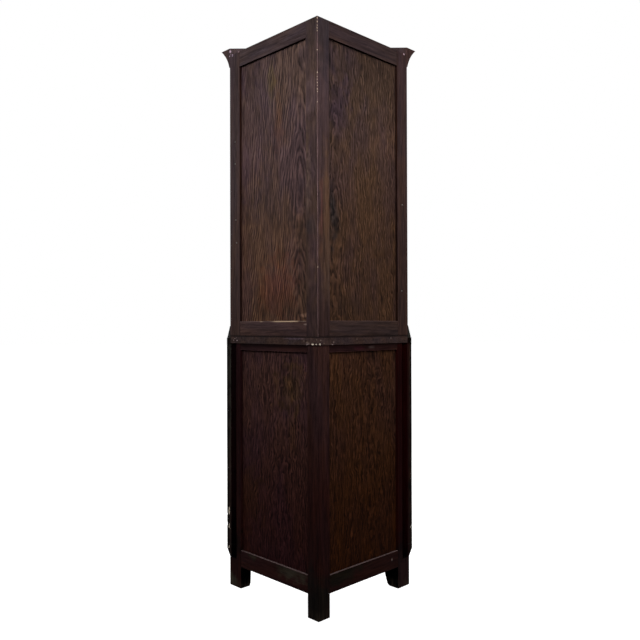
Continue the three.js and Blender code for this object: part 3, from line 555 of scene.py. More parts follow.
def merged_copy(node):
    """A new piece with a CAD node's shape, its loose triangles joined into whole faces."""
    made = new_piece(f"{node}_finished", frame["nodes"][node].data.copy())
    made.data.materials.clear()
    with whole_mesh(made):
        bpy.ops.mesh.remove_doubles(threshold=0.01 * MM)
        bpy.ops.mesh.dissolve_limited(angle_limit=math.radians(0.4))
        bpy.ops.mesh.customdata_custom_splitnormals_clear()
    return made


def weigh_edges(piece, heavy, share):
    """Gives each long outward edge a bevel weight: the whole one where heavy says so, and a share elsewhere."""
    shape = bmesh.new()
    shape.from_mesh(piece.data)
    weights = [0.0] * len(shape.edges)
    for edge in shape.edges:
        if len(edge.link_faces) != 2 or edge.calc_length() < LONG_EDGE:
            continue
        if edge.calc_face_angle_signed(0) >= SHARP_ANGLE:
            weights[edge.index] = 1.0 if heavy and heavy(edge) else share
    shape.free()
    piece.data.attributes.new("bevel_weight_edge", "FLOAT", "EDGE").data.foreach_set("value", weights)


def eased(node, main, arris, ease, widest=None, heavy=None, rubbed=None):
    """A finished copy of a wooden member: its long edges are rounded, and the rounding has its own finish, rubbed thin
    and partly painted lighter as a highlight, where rubbed says so."""
    made = merged_copy(node)
    made.data.materials.append(FINISHES[main])
    made.data.materials.append(FINISHES[arris])
    widest = widest or ease
    weigh_edges(made, heavy, ease / widest)
    modify(made, "BEVEL", width=widest, segments=2, limit_method="WEIGHT", use_clamp_overlap=False, material=1)
    for face in made.data.polygons:
        if face.material_index == 1 and rubbed and not rubbed(face.center):
            face.material_index = 0
    return made


def part_faces(piece, level):
    """Parts the faces at a level, so that what lies above it and below it can have a finish each."""
    with whole_mesh(piece):
        bpy.ops.mesh.bisect(plane_co=(0, 0, level), plane_no=UP)


def refinish(piece, key, test):
    """Gives another finish to the faces for which the test holds. A finish that the piece has already is used
    again, because a later boolean cut would merge two slots with the same finish and mix up the faces."""
    slots = piece.data.materials
    if FINISHES[key].name not in slots:
        slots.append(FINISHES[key])
    index = slots.find(FINISHES[key].name)
    for face in piece.data.polygons:
        if test(face):
            face.material_index = index
    return piece


def depth(side, place):
    """How far a place lies in from the face of a back wall, in millimetres."""
    return (Vector((0, CORNER_Y, 0)) - place).dot(wall_normal(side)) / MM


def toward_walls(least):
    """A test for the faces that look the way of a back wall, by at least this cosine."""
    return lambda face: max(face.normal.dot(wall_normal(side)) for side in (LEFT, RIGHT)) > least


def beside_panel(panel, side):
    """A test for the narrow faces of a frame that stand round a panel, down to the panel's own face."""
    low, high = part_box(panel)
    slack = 2 * MM

    def test(face):
        inside = all(low[i] - slack < face.center[i] < high[i] + slack for i in range(3))
        return inside and 0.2 < depth(side, face.center) < 9.5 and abs(face.normal.dot(wall_normal(side))) < 0.5

    return test


def on_floor(edge):
    return all(vertex.co.z < 1 * MM for vertex in edge.verts)


def on_foot(place):
    return place.z < 12 * MM


def nowhere(place):
    return False


def chip(piece, places, seed, ground):
    """Breaks chips out of a piece, down to the ground that lies under its finish. Each place is (centre, size along
    the edge, size across it, direction), with the sizes in millimetres."""
    cutter = new_piece("chip_cutter", bpy.data.meshes.new("chip_cutter"))
    cutter.data.materials.append(FINISHES[ground])
    with whole_mesh(cutter):
        for i, (centre, along, across, direction) in enumerate(places):
            bpy.ops.mesh.select_all(action="DESELECT")
            bpy.ops.mesh.primitive_ico_sphere_add(subdivisions=2, radius=across * MM, location=centre)
            bpy.ops.transform.vertex_random(offset=across * MM * 0.22, seed=seed + i)
            shape = bmesh.from_edit_mesh(cutter.data)
            axis = Vector(direction).normalized()
            for vertex in shape.verts:
                if vertex.select:
                    vertex.co += axis * (vertex.co - centre).dot(axis) * (along / across - 1)
            bmesh.update_edit_mesh(cutter.data)
        face_outward()
    modify(piece, "BOOLEAN", operation="DIFFERENCE", solver="EXACT", object=cutter, use_self=True,
           material_mode="TRANSFER")
    bpy.data.objects.remove(cutter)
    return piece


def upright_chips(side, rows, edge=0):
    """Chips along an upright edge of a wall, from (back from the edge, level, height, width) in millimetres."""
    return [(wall_place(side, edge - back, 0, level), tall, wide, UP) for back, level, tall, wide in rows]


def settle(piece, node=None, body=None, angle=35):
    """Smooth-shades a finished piece, hides the CAD part that it stands for, and ties it to the body that it moves
    with. The broad faces keep their own normals, so that a rounded edge doesn't bend the light on them."""
    only(piece)
    bpy.ops.object.shade_smooth_by_angle(angle=math.radians(angle))
    modify(piece, "WEIGHTED_NORMAL", weight=100, keep_sharp=True)
    if node:
        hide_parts(node)
        body = frame["nodes"][node]["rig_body"]
    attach(piece, body)
    return piece


def turned(name, rings, segments, place, axis, key):
    """A turned piece: each ring is (height, radius) in millimetres, and the work grows along the axis from the
    first ring."""
    rings = [(height * MM, radius * MM) for height, radius in rings]
    foot, size = rings[0]
    piece = added(bpy.ops.mesh.primitive_circle_add, name, vertices=segments, radius=size, fill_type="NGON",
                  location=(0, 0, foot))
    piece.data.name = name
    bpy.ops.object.transform_apply(location=True, rotation=True, scale=True)
    with whole_mesh(piece):
        for (height, radius), (next_height, next_radius) in zip(rings, rings[1:]):
            bpy.ops.mesh.extrude_region_move(TRANSFORM_OT_translate={"value": (0, 0, next_height - height)})
            share = next_radius / radius
            bpy.ops.transform.resize(value=(share, share, 1), center_override=(0, 0, next_height))
        face_outward()
    turn = Vector(UP).rotation_difference(Vector(axis)).to_matrix().to_4x4()
    piece.data.transform(Matrix.Translation(place) @ turn)
    piece.data.materials.append(FINISHES[key])
    return piece


class CupboardOperator(bpy.types.Operator):
    """What the cupboard's operators share"""

    bl_options = {"REGISTER", "UNDO"}

    @property
    def woodwork(self):
        return bpy.context.scene.cupboard_finish

    @property
    def studio(self):
        return bpy.context.scene.cupboard_studio

    def lacquered(self, node, grain="across"):
        return eased(node, f"lacquer.{grain}", f"lacquer_arris.{grain}", self.woodwork.ease)


class CUPBOARD_OT_camera(CupboardOperator):
    """Stand the camera before the back corner, at the height of the waist"""

    bl_idname = "cupboard.camera"
    bl_label = "Camera"

    # Found by fitting a camera to the edges of the cupboard: its place, and its yaw, pitch and roll in degrees
    PLACE = Vector((-22.9, 2259.6, 892.3)) * MM
    TURN = (-0.461, 0.457, -0.152)

    def execute(self, context):
        yaw, pitch, roll = (math.radians(angle) for angle in self.TURN)
        sight = Vector((-math.sin(yaw) * math.cos(pitch), -math.cos(yaw) * math.cos(pitch), math.sin(pitch)))
        level = sight.to_track_quat("-Z", "Y").to_matrix()
        camera = added(bpy.ops.object.camera_add, "camera", location=self.PLACE)
        camera.matrix_world = Matrix.Translation(self.PLACE) @ (level @ Matrix.Rotation(roll, 3, "Z")).to_4x4()
        camera.data.sensor_fit = "HORIZONTAL"
        camera.data.sensor_width = 36
        camera.data.lens = self.studio.focal_length
        camera.data.clip_end = 100
        context.scene.camera = camera
        return {"FINISHED"}


class CUPBOARD_OT_stage(CupboardOperator):
    """Lay a pale floor and hang soft lamps round the cupboard"""

    bl_idname = "cupboard.stage"
    bl_label = "Stage"

    # How much of the floor's and the air's whiteness shows in polished things
    MIRRORED = 0.22

    def lamp(self, name, place, aim, size, power, spread=150):
        lamp = added(bpy.ops.object.light_add, name, type="AREA", location=place)
        lamp.data.shape = "DISK"
        lamp.data.size = size
        lamp.data.energy = power
        lamp.data.spread = math.radians(spread)
        sight = Vector(aim) - Vector(place)
        lamp.matrix_world = Matrix.Translation(place) @ sight.to_track_quat("-Z", "Y").to_matrix().to_4x4()

    def whiteness(self, tree):
        """How white the studio is to a ray: wholly, seen straight or through the glass, and less in a reflection."""
        ray = put(tree, "LightPath").node.outputs
        straight = put(tree, "Math", [ray["Is Camera Ray"], ray["Is Transmission Ray"]], operation="MAXIMUM")
        mirrored = put(tree, "Math", [ray["Is Glossy Ray"], self.MIRRORED], operation="MULTIPLY")
        return put(tree, "Math", [straight, mirrored], operation="MAXIMUM")

    def floor(self):
        floor = added(bpy.ops.mesh.primitive_plane_add, "floor", size=60, location=(0, 0, -0.2 * MM))
        bpy.ops.object.transform_apply(location=True, rotation=False, scale=False)
        material, tree = new_material("pale_paper_floor")
        white = self.whiteness(tree)
        # Paper white to the eye, but it throws back only an eighth of the light on to the cupboard
        matt = put(tree, "BsdfDiffuse", [laid_over(tree, grey(0.12), white, grey(0.62))])
        reach = put(tree, "VectorMath", [put(tree, "TexCoord", out="Object")], "Value", operation="LENGTH")
        near = put(tree, "MapRange", [reach, 0.4, 1.1, 0.92, 1.0])
        glow = put(tree, "Emission", [grey(1.0), put(tree, "Math", [white, near], operation="MULTIPLY")])
        put(tree, "OutputMaterial", [put(tree, "AddShader", [matt, glow])])
        floor.data.materials.append(material)

    def air(self):
        world = bpy.data.worlds.new("studio")
        tree = empty_tree(world)
        strength = put(tree, "MapRange", [self.whiteness(tree), 0.0, 1.0, self.studio.air, 1.0])
        put(tree, "OutputWorld", [put(tree, "Background", [grey(1.0), strength])])
        bpy.context.scene.world = world

    def execute(self, context):
        self.floor()
        self.air()
        key, front = self.studio.key_power, self.studio.front_power
        self.lamp("key", (0.35, 2.35, 2.35), (0, 0.1, 1.62), 1.3, key, 80)
        self.lamp("fill", (-1.4, 2.0, 2.1), (0, 0.1, 1.5), 1.6, key * 0.5, 90)
        self.lamp("front_left", (-1.3, -2.3, 2.3), (0, 0, 0.95), 2.6, front)
        self.lamp("front_right", (1.6, -2.1, 1.9), (0, 0, 0.95), 2.6, front * 0.7)
        context.scene.view_settings.view_transform = "Standard"
        return {"FINISHED"}


# The levels between which a case's stain goes over from its upper shade to its lower one, in metres: partly painted
# shade, where less light fell low down
FADE_AND_SHADE = {"upper": (1.83, 0.87), "lower": (0.76, 0.3)}

# What the stained members of a case have in common. The waist shadow is a band of painted shadow in the corner at the
# waist board, or at a level that the member doesn't reach. Worn is how much paler the stain is on the eased edges:
# partly rubbed thin, partly painted highlight.
USUAL = {
    "upper": {"waist_shadow": (0.8625, 0.857), "sheen": 0.08, "dusty": 0.34, "worn": 1.0},
    "lower": {"waist_shadow": (0.825, 0.8315), "sheen": 0.02, "dusty": 0.34, "worn": 1.0},
}
DULL = {"sheen": 0.0, "dusty": 0.02}

SCUFF = "#8f7f76"

# The stain of each kind of member: its case, its grain, its shade at the top and at the foot, its marks as marks_at
# takes them, and what is unusual in it. The change from the top shade to the foot shade is partly painted light and
# shade.
MEMBERS = {
    # In the upper post and stiles, the darker shares near the top, under the cornice, and near the foot, above the
    # waist board, are painted shade
    "upper_post": ("upper", "upright", (0.95, 0.96, 1.08), (0.79, 0.71, 0.64), [
        (LEFT, 42, 1150, 36, 400, "#483529", 0.75), (LEFT, 17, 1250, 8, 130, "#4c2f2b", 0.6),
        (LEFT, 25, 1830, 100, 220, (0.49, 0.56, 0.68), 1.0), (LEFT, 25, 880, 100, 140, (0.56, 0.48, 0.46), 1.0),
    ], {"worn": 1.8}),
    "upper_stiles": ("upper", "upright", (0.83, 0.85, 0.93), (0.75, 0.7, 0.67), [
        (LEFT, 400, 1200, 200, 9000, (0.72, 0.61, 0.53), 0.9), (LEFT, 400, 1760, 200, 400, (0.64, 0.55, 0.58), 1.0),
    ] + [(side, along, level, size, size, "#a88f9a", 0.8) for side, along, level, size in (
        (RIGHT, 433, 1843, 7), (RIGHT, 424, 1841, 5), (RIGHT, 429, 1834, 7), (RIGHT, 413, 1839, 5),
        (RIGHT, 419, 1827, 6), (RIGHT, 384, 1830, 5), (RIGHT, 404, 1836, 4), (RIGHT, 436, 1828, 4),
        (LEFT, 418, 1827, 5))
    ], {}),
    "upper_right_rails": ("upper", "right_wall", (0.84, 0.92, 1.02), (0.96, 0.87, 0.86), [
        (RIGHT, 52, 896, 20, 3.5, "#7a6964", 0.7)], {}),
    "upper_left_rails": ("upper", "left_wall", (0.62, 0.6, 0.63), (0.66, 0.63, 0.58), [], {}),
    "waist_board": ("upper", "across", (0.7, 0.7, 0.68), (0.7, 0.7, 0.68), [
        (RIGHT, 0, 838, 50, 20, (0.8, 0.85, 0.85), 0.5), (RIGHT, 90, 851.5, 80, 3.5, "#55464a", 0.7),
    ] + [(side, along, level, 4.5, 4, "#6b5c56", 0.7, -1.5) for side, along, level in (
        (RIGHT, 47, 839), (RIGHT, 40, 836), (RIGHT, 4, 849), (LEFT, 10, 847), (LEFT, 66, 841), (LEFT, 24, 838),
        (RIGHT, 60, 845))
    ], {"waist_shadow": (0.8535, 0.8555), "dusty": 0.05}),
    "corner_leg": ("lower", "upright", (1.26, 1.3, 1.28), (0.83, 0.55, 0.51), [
        (RIGHT, 10, 50, 100, 150, "#141210", 0.9)], {}),
    # The near-black patches at 148 mm, where the rebate ends over the foot, are painted shade
    "front_legs": ("lower", "upright", (0.58, 0.34, 0.4), (0.68, 0.45, 0.44), [
        (LEFT, 410, 450, 200, 9000, (0.55, 0.17, 0.18), 1.0), (LEFT, 405, 60, 90, 130, "#261817", 0.8),
        (RIGHT, 440, 14, 60, 50, "#3d3a32", 0.9), (RIGHT, 425, 148, 70, 65, "#0a0404", 0.95),
        (LEFT, 425, 148, 70, 65, "#0a0404", 0.95),
    ], {}),
    "lower_right_rails": ("lower", "right_wall", (0.86, 0.8, 0.88), (0.9, 0.68, 0.7), [
        (RIGHT, 132, 126, 90, 40, "#3c3a30", 0.65), (RIGHT, 318, 136, 45, 28, "#2b271f", 0.8),
        (RIGHT, 138, 139, 8, 3, SCUFF, 0.5), (RIGHT, 82, 131, 9, 2, SCUFF, 0.4),
    ], {"waist_shadow": (0.8155, 0.8255), "worn": 2.2}),
    "lower_left_rails": ("lower", "left_wall", (0.86, 0.74, 0.72), (0.72, 0.52, 0.46), [
        (LEFT, 100, 125, 140, 50, "#17130d", 0.9), (LEFT, 344, 106, 3, 6, SCUFF, 0.6),
        (LEFT, 190, 820, 40, 9, "#331619", 0.8), (LEFT, 240, 822, 20, 8, "#453a38", 0.8),
    ], {"waist_shadow": (0.821, 0.83), "worn": 2.2}),
    # Painted shade: near black on faces in the rebates, behind the facade, on top of the waist board and at the
    # panels; its patches are blacker painted shadow deep in the rebates
    "recess": ("lower", "upright", "#0b0405", "#0d0304", [
        (LEFT, 430, 450, 300, 9000, "#130202", 1.0, 6), (LEFT, 420, 20, 300, 160, "#020202", 1.0, 10),
        (RIGHT, 420, 40, 300, 300, "#020102", 1.0, 10),
    ], DULL),
    # Painted shade on the narrow faces round the upper panels
    "upper_hollow_shade": ("upper", "upright", "#20120f", "#1a0f0c", [], DULL),
    # The near-black strips, #060505, down the facade's front edges are painted shade
    "facade_ends": ("lower", "upright", "#2e2c25", "#2c211c", [
        (LEFT, FACADE_EDGE, 450, 120, 9000, "#241a19", 1.0), (LEFT, FACADE_EDGE - 18, 450, 12, 4000, "#1d0908", 0.9),
        (LEFT, FACADE_EDGE - 10, 450, 6, 4000, "#3b2a20", 0.8), (RIGHT, FACADE_EDGE - 10, 817, 5, 7, "#5c5846", 0.8),
        (RIGHT, FACADE_EDGE - 9, 800, 4, 6, "#4c4a3a", 0.8), (LEFT, FACADE_EDGE, 450, 18, 4000, "#060505", 1.0),
        (RIGHT, FACADE_EDGE, 450, 18, 4000, "#060505", 1.0),
    ], {}),
}

# The marks on the right-hand face of the upper post. Its darker shares at the top, under the cornice, and at the foot,
# above the waist board, are painted shade.
POST_MARKS = [
    (RIGHT, 48, 1330, 24, 200, "#4a3a30", 0.7), (RIGHT, 24, 1110, 26, 240, "#3a2b2f", 0.5),
    (RIGHT, 34, 1195, 26, 36, "#2a2225", 0.7), (RIGHT, 22, 1530, 20, 20, "#2c2022", 0.7),
    (RIGHT, 4, 898, 6, 20, "#5f4c44", 0.5), (RIGHT, 25, 1840, 100, 160, (0.5, 0.56, 0.64), 1.0),
    (RIGHT, 25, 1600, 60, 70, (1.08, 1.15, 1.45), 0.9), (RIGHT, 25, 880, 100, 140, (0.54, 0.5, 0.5), 1.0),
]


class CUPBOARD_OT_finishes(CupboardOperator):
    """Mix the stains, lacquer, bare wood, metal and glass"""

    bl_idname = "cupboard.finishes"
    bl_label = "Finishes"

    def stains(self, by_case, bare):
        """The stain of each kind of member, and the rubbed stain of its eased edges."""
        upper = by_case["upper"]
        # One face of the upper post is figured like the panel beside it, but half as strongly
        shades = shade((0.86, 0.91, 0.98), upper), shade((0.68, 0.63, 0.56), upper)
        FINISHES["figured_post"] = stained_fir(
            "fir_post", RIGHT, 1.0, (40, 200, 2.0), shades, FADE_AND_SHADE["upper"], self.woodwork.grain_spacing, 7.7,
            marks=marks_at(POST_MARKS, upper), contrast=0.5)
        for i, (member, (case, grain, top, foot, rows, unusual)) in enumerate(MEMBERS.items()):
            stain = by_case[case]
            colours = shade(top, stain), shade(foot, stain)
            traits = {**USUAL[case], **unusual}
            worn = times(colours[0], traits.pop("worn"))
            FINISHES[f"stain.{member}"] = stained_wood(
                f"walnut_stain_{member}", grain, colours, FADE_AND_SHADE[case], 0.3 + i, marks_at(rows, stain), **traits)
            under = bare if "upper" in member else times(bare, 0.4)
            FINISHES[f"arris.{member}"] = worn_and_lit_arris(f"worn_and_lit_stain_{member}", grain, worn, under, 30.3 + i)

    def execute(self, context):
        wood = self.woodwork
        upper, lower, lacquer, bare, gesso, dust, pine, brass = (list(getattr(wood, name)) for name in (
            "upper_stain", "lower_stain", "lacquer", "bare_wood", "gesso", "dust", "pine", "brass"))
        self.stains({"upper": upper, "lower": lower}, bare)
        for i, grain in enumerate(GRAIN):
            FINISHES[f"lacquer.{grain}"] = black_lacquer(f"black_lacquer_{grain}", grain, lacquer, 16.3 + i)
            FINISHES[f"lacquer_arris.{grain}"] = worn_and_lit_arris(
                f"rubbed_lacquer_{grain}", grain, lacquer, gesso, 20.3 + i, 0.35)
            FINISHES[f"pine.{grain}"] = bare_pine(f"bare_pine_{grain}", grain, pine, 24.3 + i)
        ledge_marks = marks_at([(RIGHT, 152, 906, 120, 20, "#b89e82", 0.8)])
        dust_marks = marks_at([(RIGHT, 90, 148, 160, 20, dust, 0.9), (LEFT, 250, 148, 50, 20, dust, 0.4)], inward=4)
        FINISHES.update({
            "tan_ledge": worn_and_lit_arris("stain_rubbed_to_wood", "right_wall", times(upper, 0.9), linear("#a98b68"), 5.1,
                                      0.7, ledge_marks),
            "dust": dusty_ledge("house_dust", times(dust, 0.62), times(lower, 1.5), 2.2, dust_marks),
            "gesso": broken_ground("chalk_gesso", gesso, 0.2),
            "fresh_wood": broken_ground("fresh_wood", bare, 0.7),
            "scuffed_wood": broken_ground("scuffed_wood", shade((0.55, 0.55, 0.7), bare), 1.1),
            "brass": aged_metal("aged_brass", brass, "#4a3a24", 0.26, 0.4),
            "steel": aged_metal("bright_steel", linear("#8f8b85"), "#4b4743", 0.35, 1.4),
            "glass": window_glass("window_glass"),
            "putty": putty("linseed_putty"),
        })
        return {"FINISHED"}


# Painted shade in the angles round the panels: a near-black stain where shade falls
RECESS = {"upper": "stain.upper_hollow_shade", "lower": "stain.recess"}

# How far in from the face of a wall the stains of the panels lie, in millimetres
PANEL_DEPTH = 8.5

WARM, VIOLET, SOOT, OLIVE = (1.25, 1.0, 0.7), (0.95, 0.95, 1.3), (0.55, 0.68, 0.9), (1.15, 1.25, 0.7)

# Each panel's wall, its figure as (heart line in millimetres from the corner, climb from ring to ring, curl), its
# shade at the top and at the foot, its seed, and its stains: (along the wall, level, reach across, reach up, tint,
# strength). The greyer, darker tints are painted shade; the warm, olive and violet ones are stains.
PANELS = {
    "upper_right_panel": (RIGHT, (90, 75, 1.7), (0.92, 1.03, 1.31), (1.02, 0.92, 0.84), 0.31, [
        (225, 1690, 30, 100, OLIVE, 0.8), (190, 1540, 30, 120, WARM, 0.6), (330, 1500, 100, 280, VIOLET, 0.6),
        (205, 1003, 120, 120, (1.36, 1.0, 0.84), 0.8), (62, 1110, 60, 270, (0.62, 0.65, 0.72), 0.9),
        (230, 1300, 240, 110, (0.76, 0.79, 0.86), 0.9), (165, 950, 270, 70, (0.66, 0.7, 0.72), 0.85),
        (66, 1730, 50, 50, (0.72, 0.75, 0.9), 0.9), (345, 1755, 100, 90, (0.78, 0.76, 0.8), 0.9),
        (70, 924, 36, 10, (2.3, 2.5, 2.7), 0.9), (68, 914, 16, 7, (0.4, 0.4, 0.4), 0.9),
    ]),
    "upper_left_panel": (LEFT, (85, 160, 3.0), (0.66, 0.7, 0.75), (0.63, 0.55, 0.44), 1.93, [
        (100, 1560, 60, 200, VIOLET, 0.8), (250, 1370, 200, 300, (1.16, 1.12, 0.98), 0.9),
        (84, 1222, 26, 75, SOOT, 1.0), (70, 1245, 22, 120, SOOT, 1.0), (90, 1720, 120, 100, (0.68, 0.7, 0.9), 0.9),
        (250, 1745, 120, 80, (0.78, 0.77, 0.77), 0.9), (100, 1545, 80, 120, (0.76, 0.78, 0.95), 0.9),
        (340, 1530, 100, 120, (1.28, 1.25, 1.3), 0.9), (150, 950, 100, 60, (0.72, 0.74, 0.74), 0.9),
    ]),
    "lower_right_panel": (RIGHT, (170, 240, 3.4), (1.06, 1.13, 1.55), (0.64, 0.43, 0.58), 3.17, [
        (130, 690, 85, 90, (1.15, 1.28, 0.66), 0.85), (125, 590, 30, 130, (1.1, 1.15, 0.75), 0.6),
        (340, 330, 90, 140, OLIVE, 0.6), (126, 655, 10, 18, (1.9, 1.8, 1.4), 0.9),
        (139, 705, 10, 14, (1.6, 1.5, 1.3), 0.9), (66, 760, 5, 50, (1.7, 1.5, 1.5), 0.8),
    ]),
    "lower_left_panel": (LEFT, (250, 240, 3.8), (0.99, 0.97, 0.75), (0.67, 0.46, 0.22), 5.71, [
        (156, 240, 6, 20, (2.2, 2.2, 2.4), 0.9),
    ]),
}


class CUPBOARD_OT_wall_panels(CupboardOperator):
    """Finish the four plywood panels, each with its own sheet of veneer and its own stains"""

    bl_idname = "cupboard.wall_panels"
    bl_label = "Wall panels"

    def execute(self, context):
        for node, (side, figure, top, foot, seed, rows) in PANELS.items():
            case, hand, _ = node.split("_")
            upper = case == "upper"
            fir = list(self.woodwork.upper_fir if upper else self.woodwork.lower_fir)
            # The stile or leg that stands at the panel's outer edge
            neighbour = f"upper_{hand}_outer_stile" if upper else f"{hand}_front_leg"
            sight_edge = (CORNER_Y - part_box(neighbour)[1].y) * math.sqrt(2)
            low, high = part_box(node)
            stains = marks_at([(side, *row) for row in rows], inward=PANEL_DEPTH)
            finish = stained_fir(
                f"fir_plywood_{node}", side, sight_edge, figure, (shade(top, fir), shade(foot, fir)), (high.z, low.z),
                self.woodwork.grain_spacing, seed, stains, sheen=0.07 if upper else 0.02)
            piece = merged_copy(node)
            piece.data.materials.append(finish)
            settle(piece, node)
        return {"FINISHED"}


class CUPBOARD_OT_wall_frames(CupboardOperator):
    """Ease and wear the posts, legs and rails of the back walls, and the waist board between the two cases"""

    bl_idname = "cupboard.wall_frames"
    bl_label = "Wall frames"

    # Chips down the corner of the upper case: (level, height, width). Their levels were read off the worn edge.
    CORNER_CHIPS = [
        (1824, 3, 1.9), (1812, 2.5, 1.6), (1801, 2, 1.4), (1793, 3, 1.3), (1784, 2, 1.2), (1726, 2.5, 1.6),
        (1658, 3, 1.7), (1645, 2, 1.3), (1637, 2, 1.4), (1627, 2.5, 1.2), (1618, 1.6, 1.3), (1608, 3, 1.4),
        (1600, 2.5, 1.5), (1569, 2.5, 1.2), (1069, 3, 1.3),
    ]

    # Knocks in the waist board, most of them at its corner: (wall, along it, level, size along the edge, size across
    # it), and a direction where it isn't the edge's own
    GOUGES = [(RIGHT, 22, 835.5, 5, 3.8), (RIGHT, 6, 835, 3, 2.2), (LEFT, 6, 836, 4, 2.6)]
    DENTS = [
        (RIGHT, 45, 834, 4, 1.8), (LEFT, 60, 834, 3, 1.3), (RIGHT, 413, 843, 3.4, 1.9), (RIGHT, 394, 842, 3.6, 2.5),
        (RIGHT, 406, 849, 2.4, 1.4), (RIGHT, 398, 851, 1.8, 1.2), (LEFT, 172, 849, 1.5, 1.1, UP),
        (LEFT, 341, 850, 3, 1.0),
    ]

    def knocks(self, rows):
        return [(wall_place(side, along, -1.5, level), long, wide, own[0] if own else wall_normal(-side))
                for side, along, level, long, wide, *own in rows]

    def rail(self, case, hand, end):
        """The bottom or top rail of a wall. The top rail's narrow face at the panel is painted dark as shade, and the
        bottom rail's is grey with dust."""
        node = f"{case}_{hand}_{end}_rail"
        side = HANDS[hand]
        member = f"{case}_{hand}_rails"
        low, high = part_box(node)
        ease = self.woodwork.ease

        def outer_edge(level):
            return lambda place: abs(place.z - level) < 3 * MM and depth(side, place) < 3

        top = outer_edge(high.z)
        worn = outer_edge(low.z) if case == "lower" and end == "top" else top
        ledge = case == "upper" and end == "bottom"
        widest = ease * (3.6 if hand == "right" else 1.2) if ledge else ease
        arris = "tan_ledge" if ledge else f"arris.{member}"
        piece = eased(node, f"stain.{member}", arris, ease, widest,
                      lambda edge: all(top(vertex.co) for vertex in edge.verts), worn)
        beside = RECESS[case] if end == "top" else "dust"
        settle(refinish(piece, beside, beside_panel(f"{case}_{hand}_panel", side)), node)

    def upright(self, node, member, hands, widest=None, heavy=None, rubbed=None):
        """A post, stile or leg. Its narrow faces at the panels are painted dark, as shade."""
        made = eased(node, f"stain.{member}", f"arris.{member}", self.woodwork.ease, widest, heavy, rubbed)
        case = "upper" if "upper" in member else "lower"
        for hand in hands:
            refinish(made, RECESS[case], beside_panel(f"{case}_{hand}_panel", HANDS[hand]))
        return made

    def front_leg(self, hand, side):
        """A front leg. Its long rebate and the inner side of its foot are painted near black, as shade."""
        node = f"{hand}_front_leg"
        under_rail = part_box(f"lower_{hand}_bottom_rail")[0].z
        rebate_foot = 150 * MM
        to_corner = wall_normal(-side)

        def in_rebate(face):
            if face.center.z > rebate_foot:
                return 2 < depth(side, face.center) < 14
            return face.normal.z > 0.3 and face.center.z < rebate_foot

        leg = self.upright(node, "front_legs", [hand], self.woodwork.foot_ease, on_floor, on_foot)
        refinish(leg, "stain.recess", in_rebate)
        part_faces(leg, under_rail)
        refinish(leg, "stain.recess", lambda face: face.normal.dot(to_corner) > 0.5 and face.center.z < under_rail)
        settle(leg, node)

    def execute(self, context):
        wood = self.woodwork
        for case in CASES:
            for hand in HANDS:
                for end in ("bottom", "top"):
                    self.rail(case, hand, end)
        for hand, side in HANDS.items():
            node = f"upper_{hand}_outer_stile"
            settle(self.upright(node, "upper_stiles", [hand], rubbed=nowhere), node)
            self.front_leg(hand, side)
        post = self.upright("upper_corner_post", "upper_post", HANDS,
                            rubbed=lambda place: abs(place.x) < 4 * MM and place.y > CORNER_Y - 4 * MM)
        refinish(post, "figured_post",
                 lambda face: face.normal.dot(wall_normal(RIGHT)) > 0.99 and depth(RIGHT, face.center) < 1)
        chip(post, upright_chips(RIGHT, [(0, *row) for row in self.CORNER_CHIPS]), 11, "fresh_wood")
        settle(post, "upper_corner_post")
        settle(self.upright("corner_leg", "corner_leg", HANDS, wood.foot_ease, on_floor, on_foot), "corner_leg")
        board = eased("waist_board", "stain.waist_board", "arris.waist_board", wood.ease, rubbed=nowhere)
        refinish(board, "stain.recess", lambda face: face.normal.z > 0.5)
        chip(board, self.knocks(self.GOUGES), 23, "gesso")
        settle(chip(board, self.knocks(self.DENTS), 37, "scuffed_wood"), "waist_board")
        return {"FINISHED"}


class CUPBOARD_OT_boards(CupboardOperator):
    """Finish the floors, shelves, cleats and top board in bare pine"""

    bl_idname = "cupboard.boards"
    bl_label = "Boards"

    def execute(self, context):
        shelves = ("upper_shelf_low", "upper_shelf_high")
        across = ("bottom_board", "lower_shelf", "upper_floor_board", "top_board", *shelves)
        boards = [(node, "pine.across") for node in across]
        boards += [(f"{shelf}_{hand}_cleat", f"pine.{hand}_wall") for shelf in shelves for hand in HANDS]
        for node, pine in boards:
            settle(eased(node, pine, pine, self.woodwork.ease * 0.6), node)
        return {"FINISHED"}


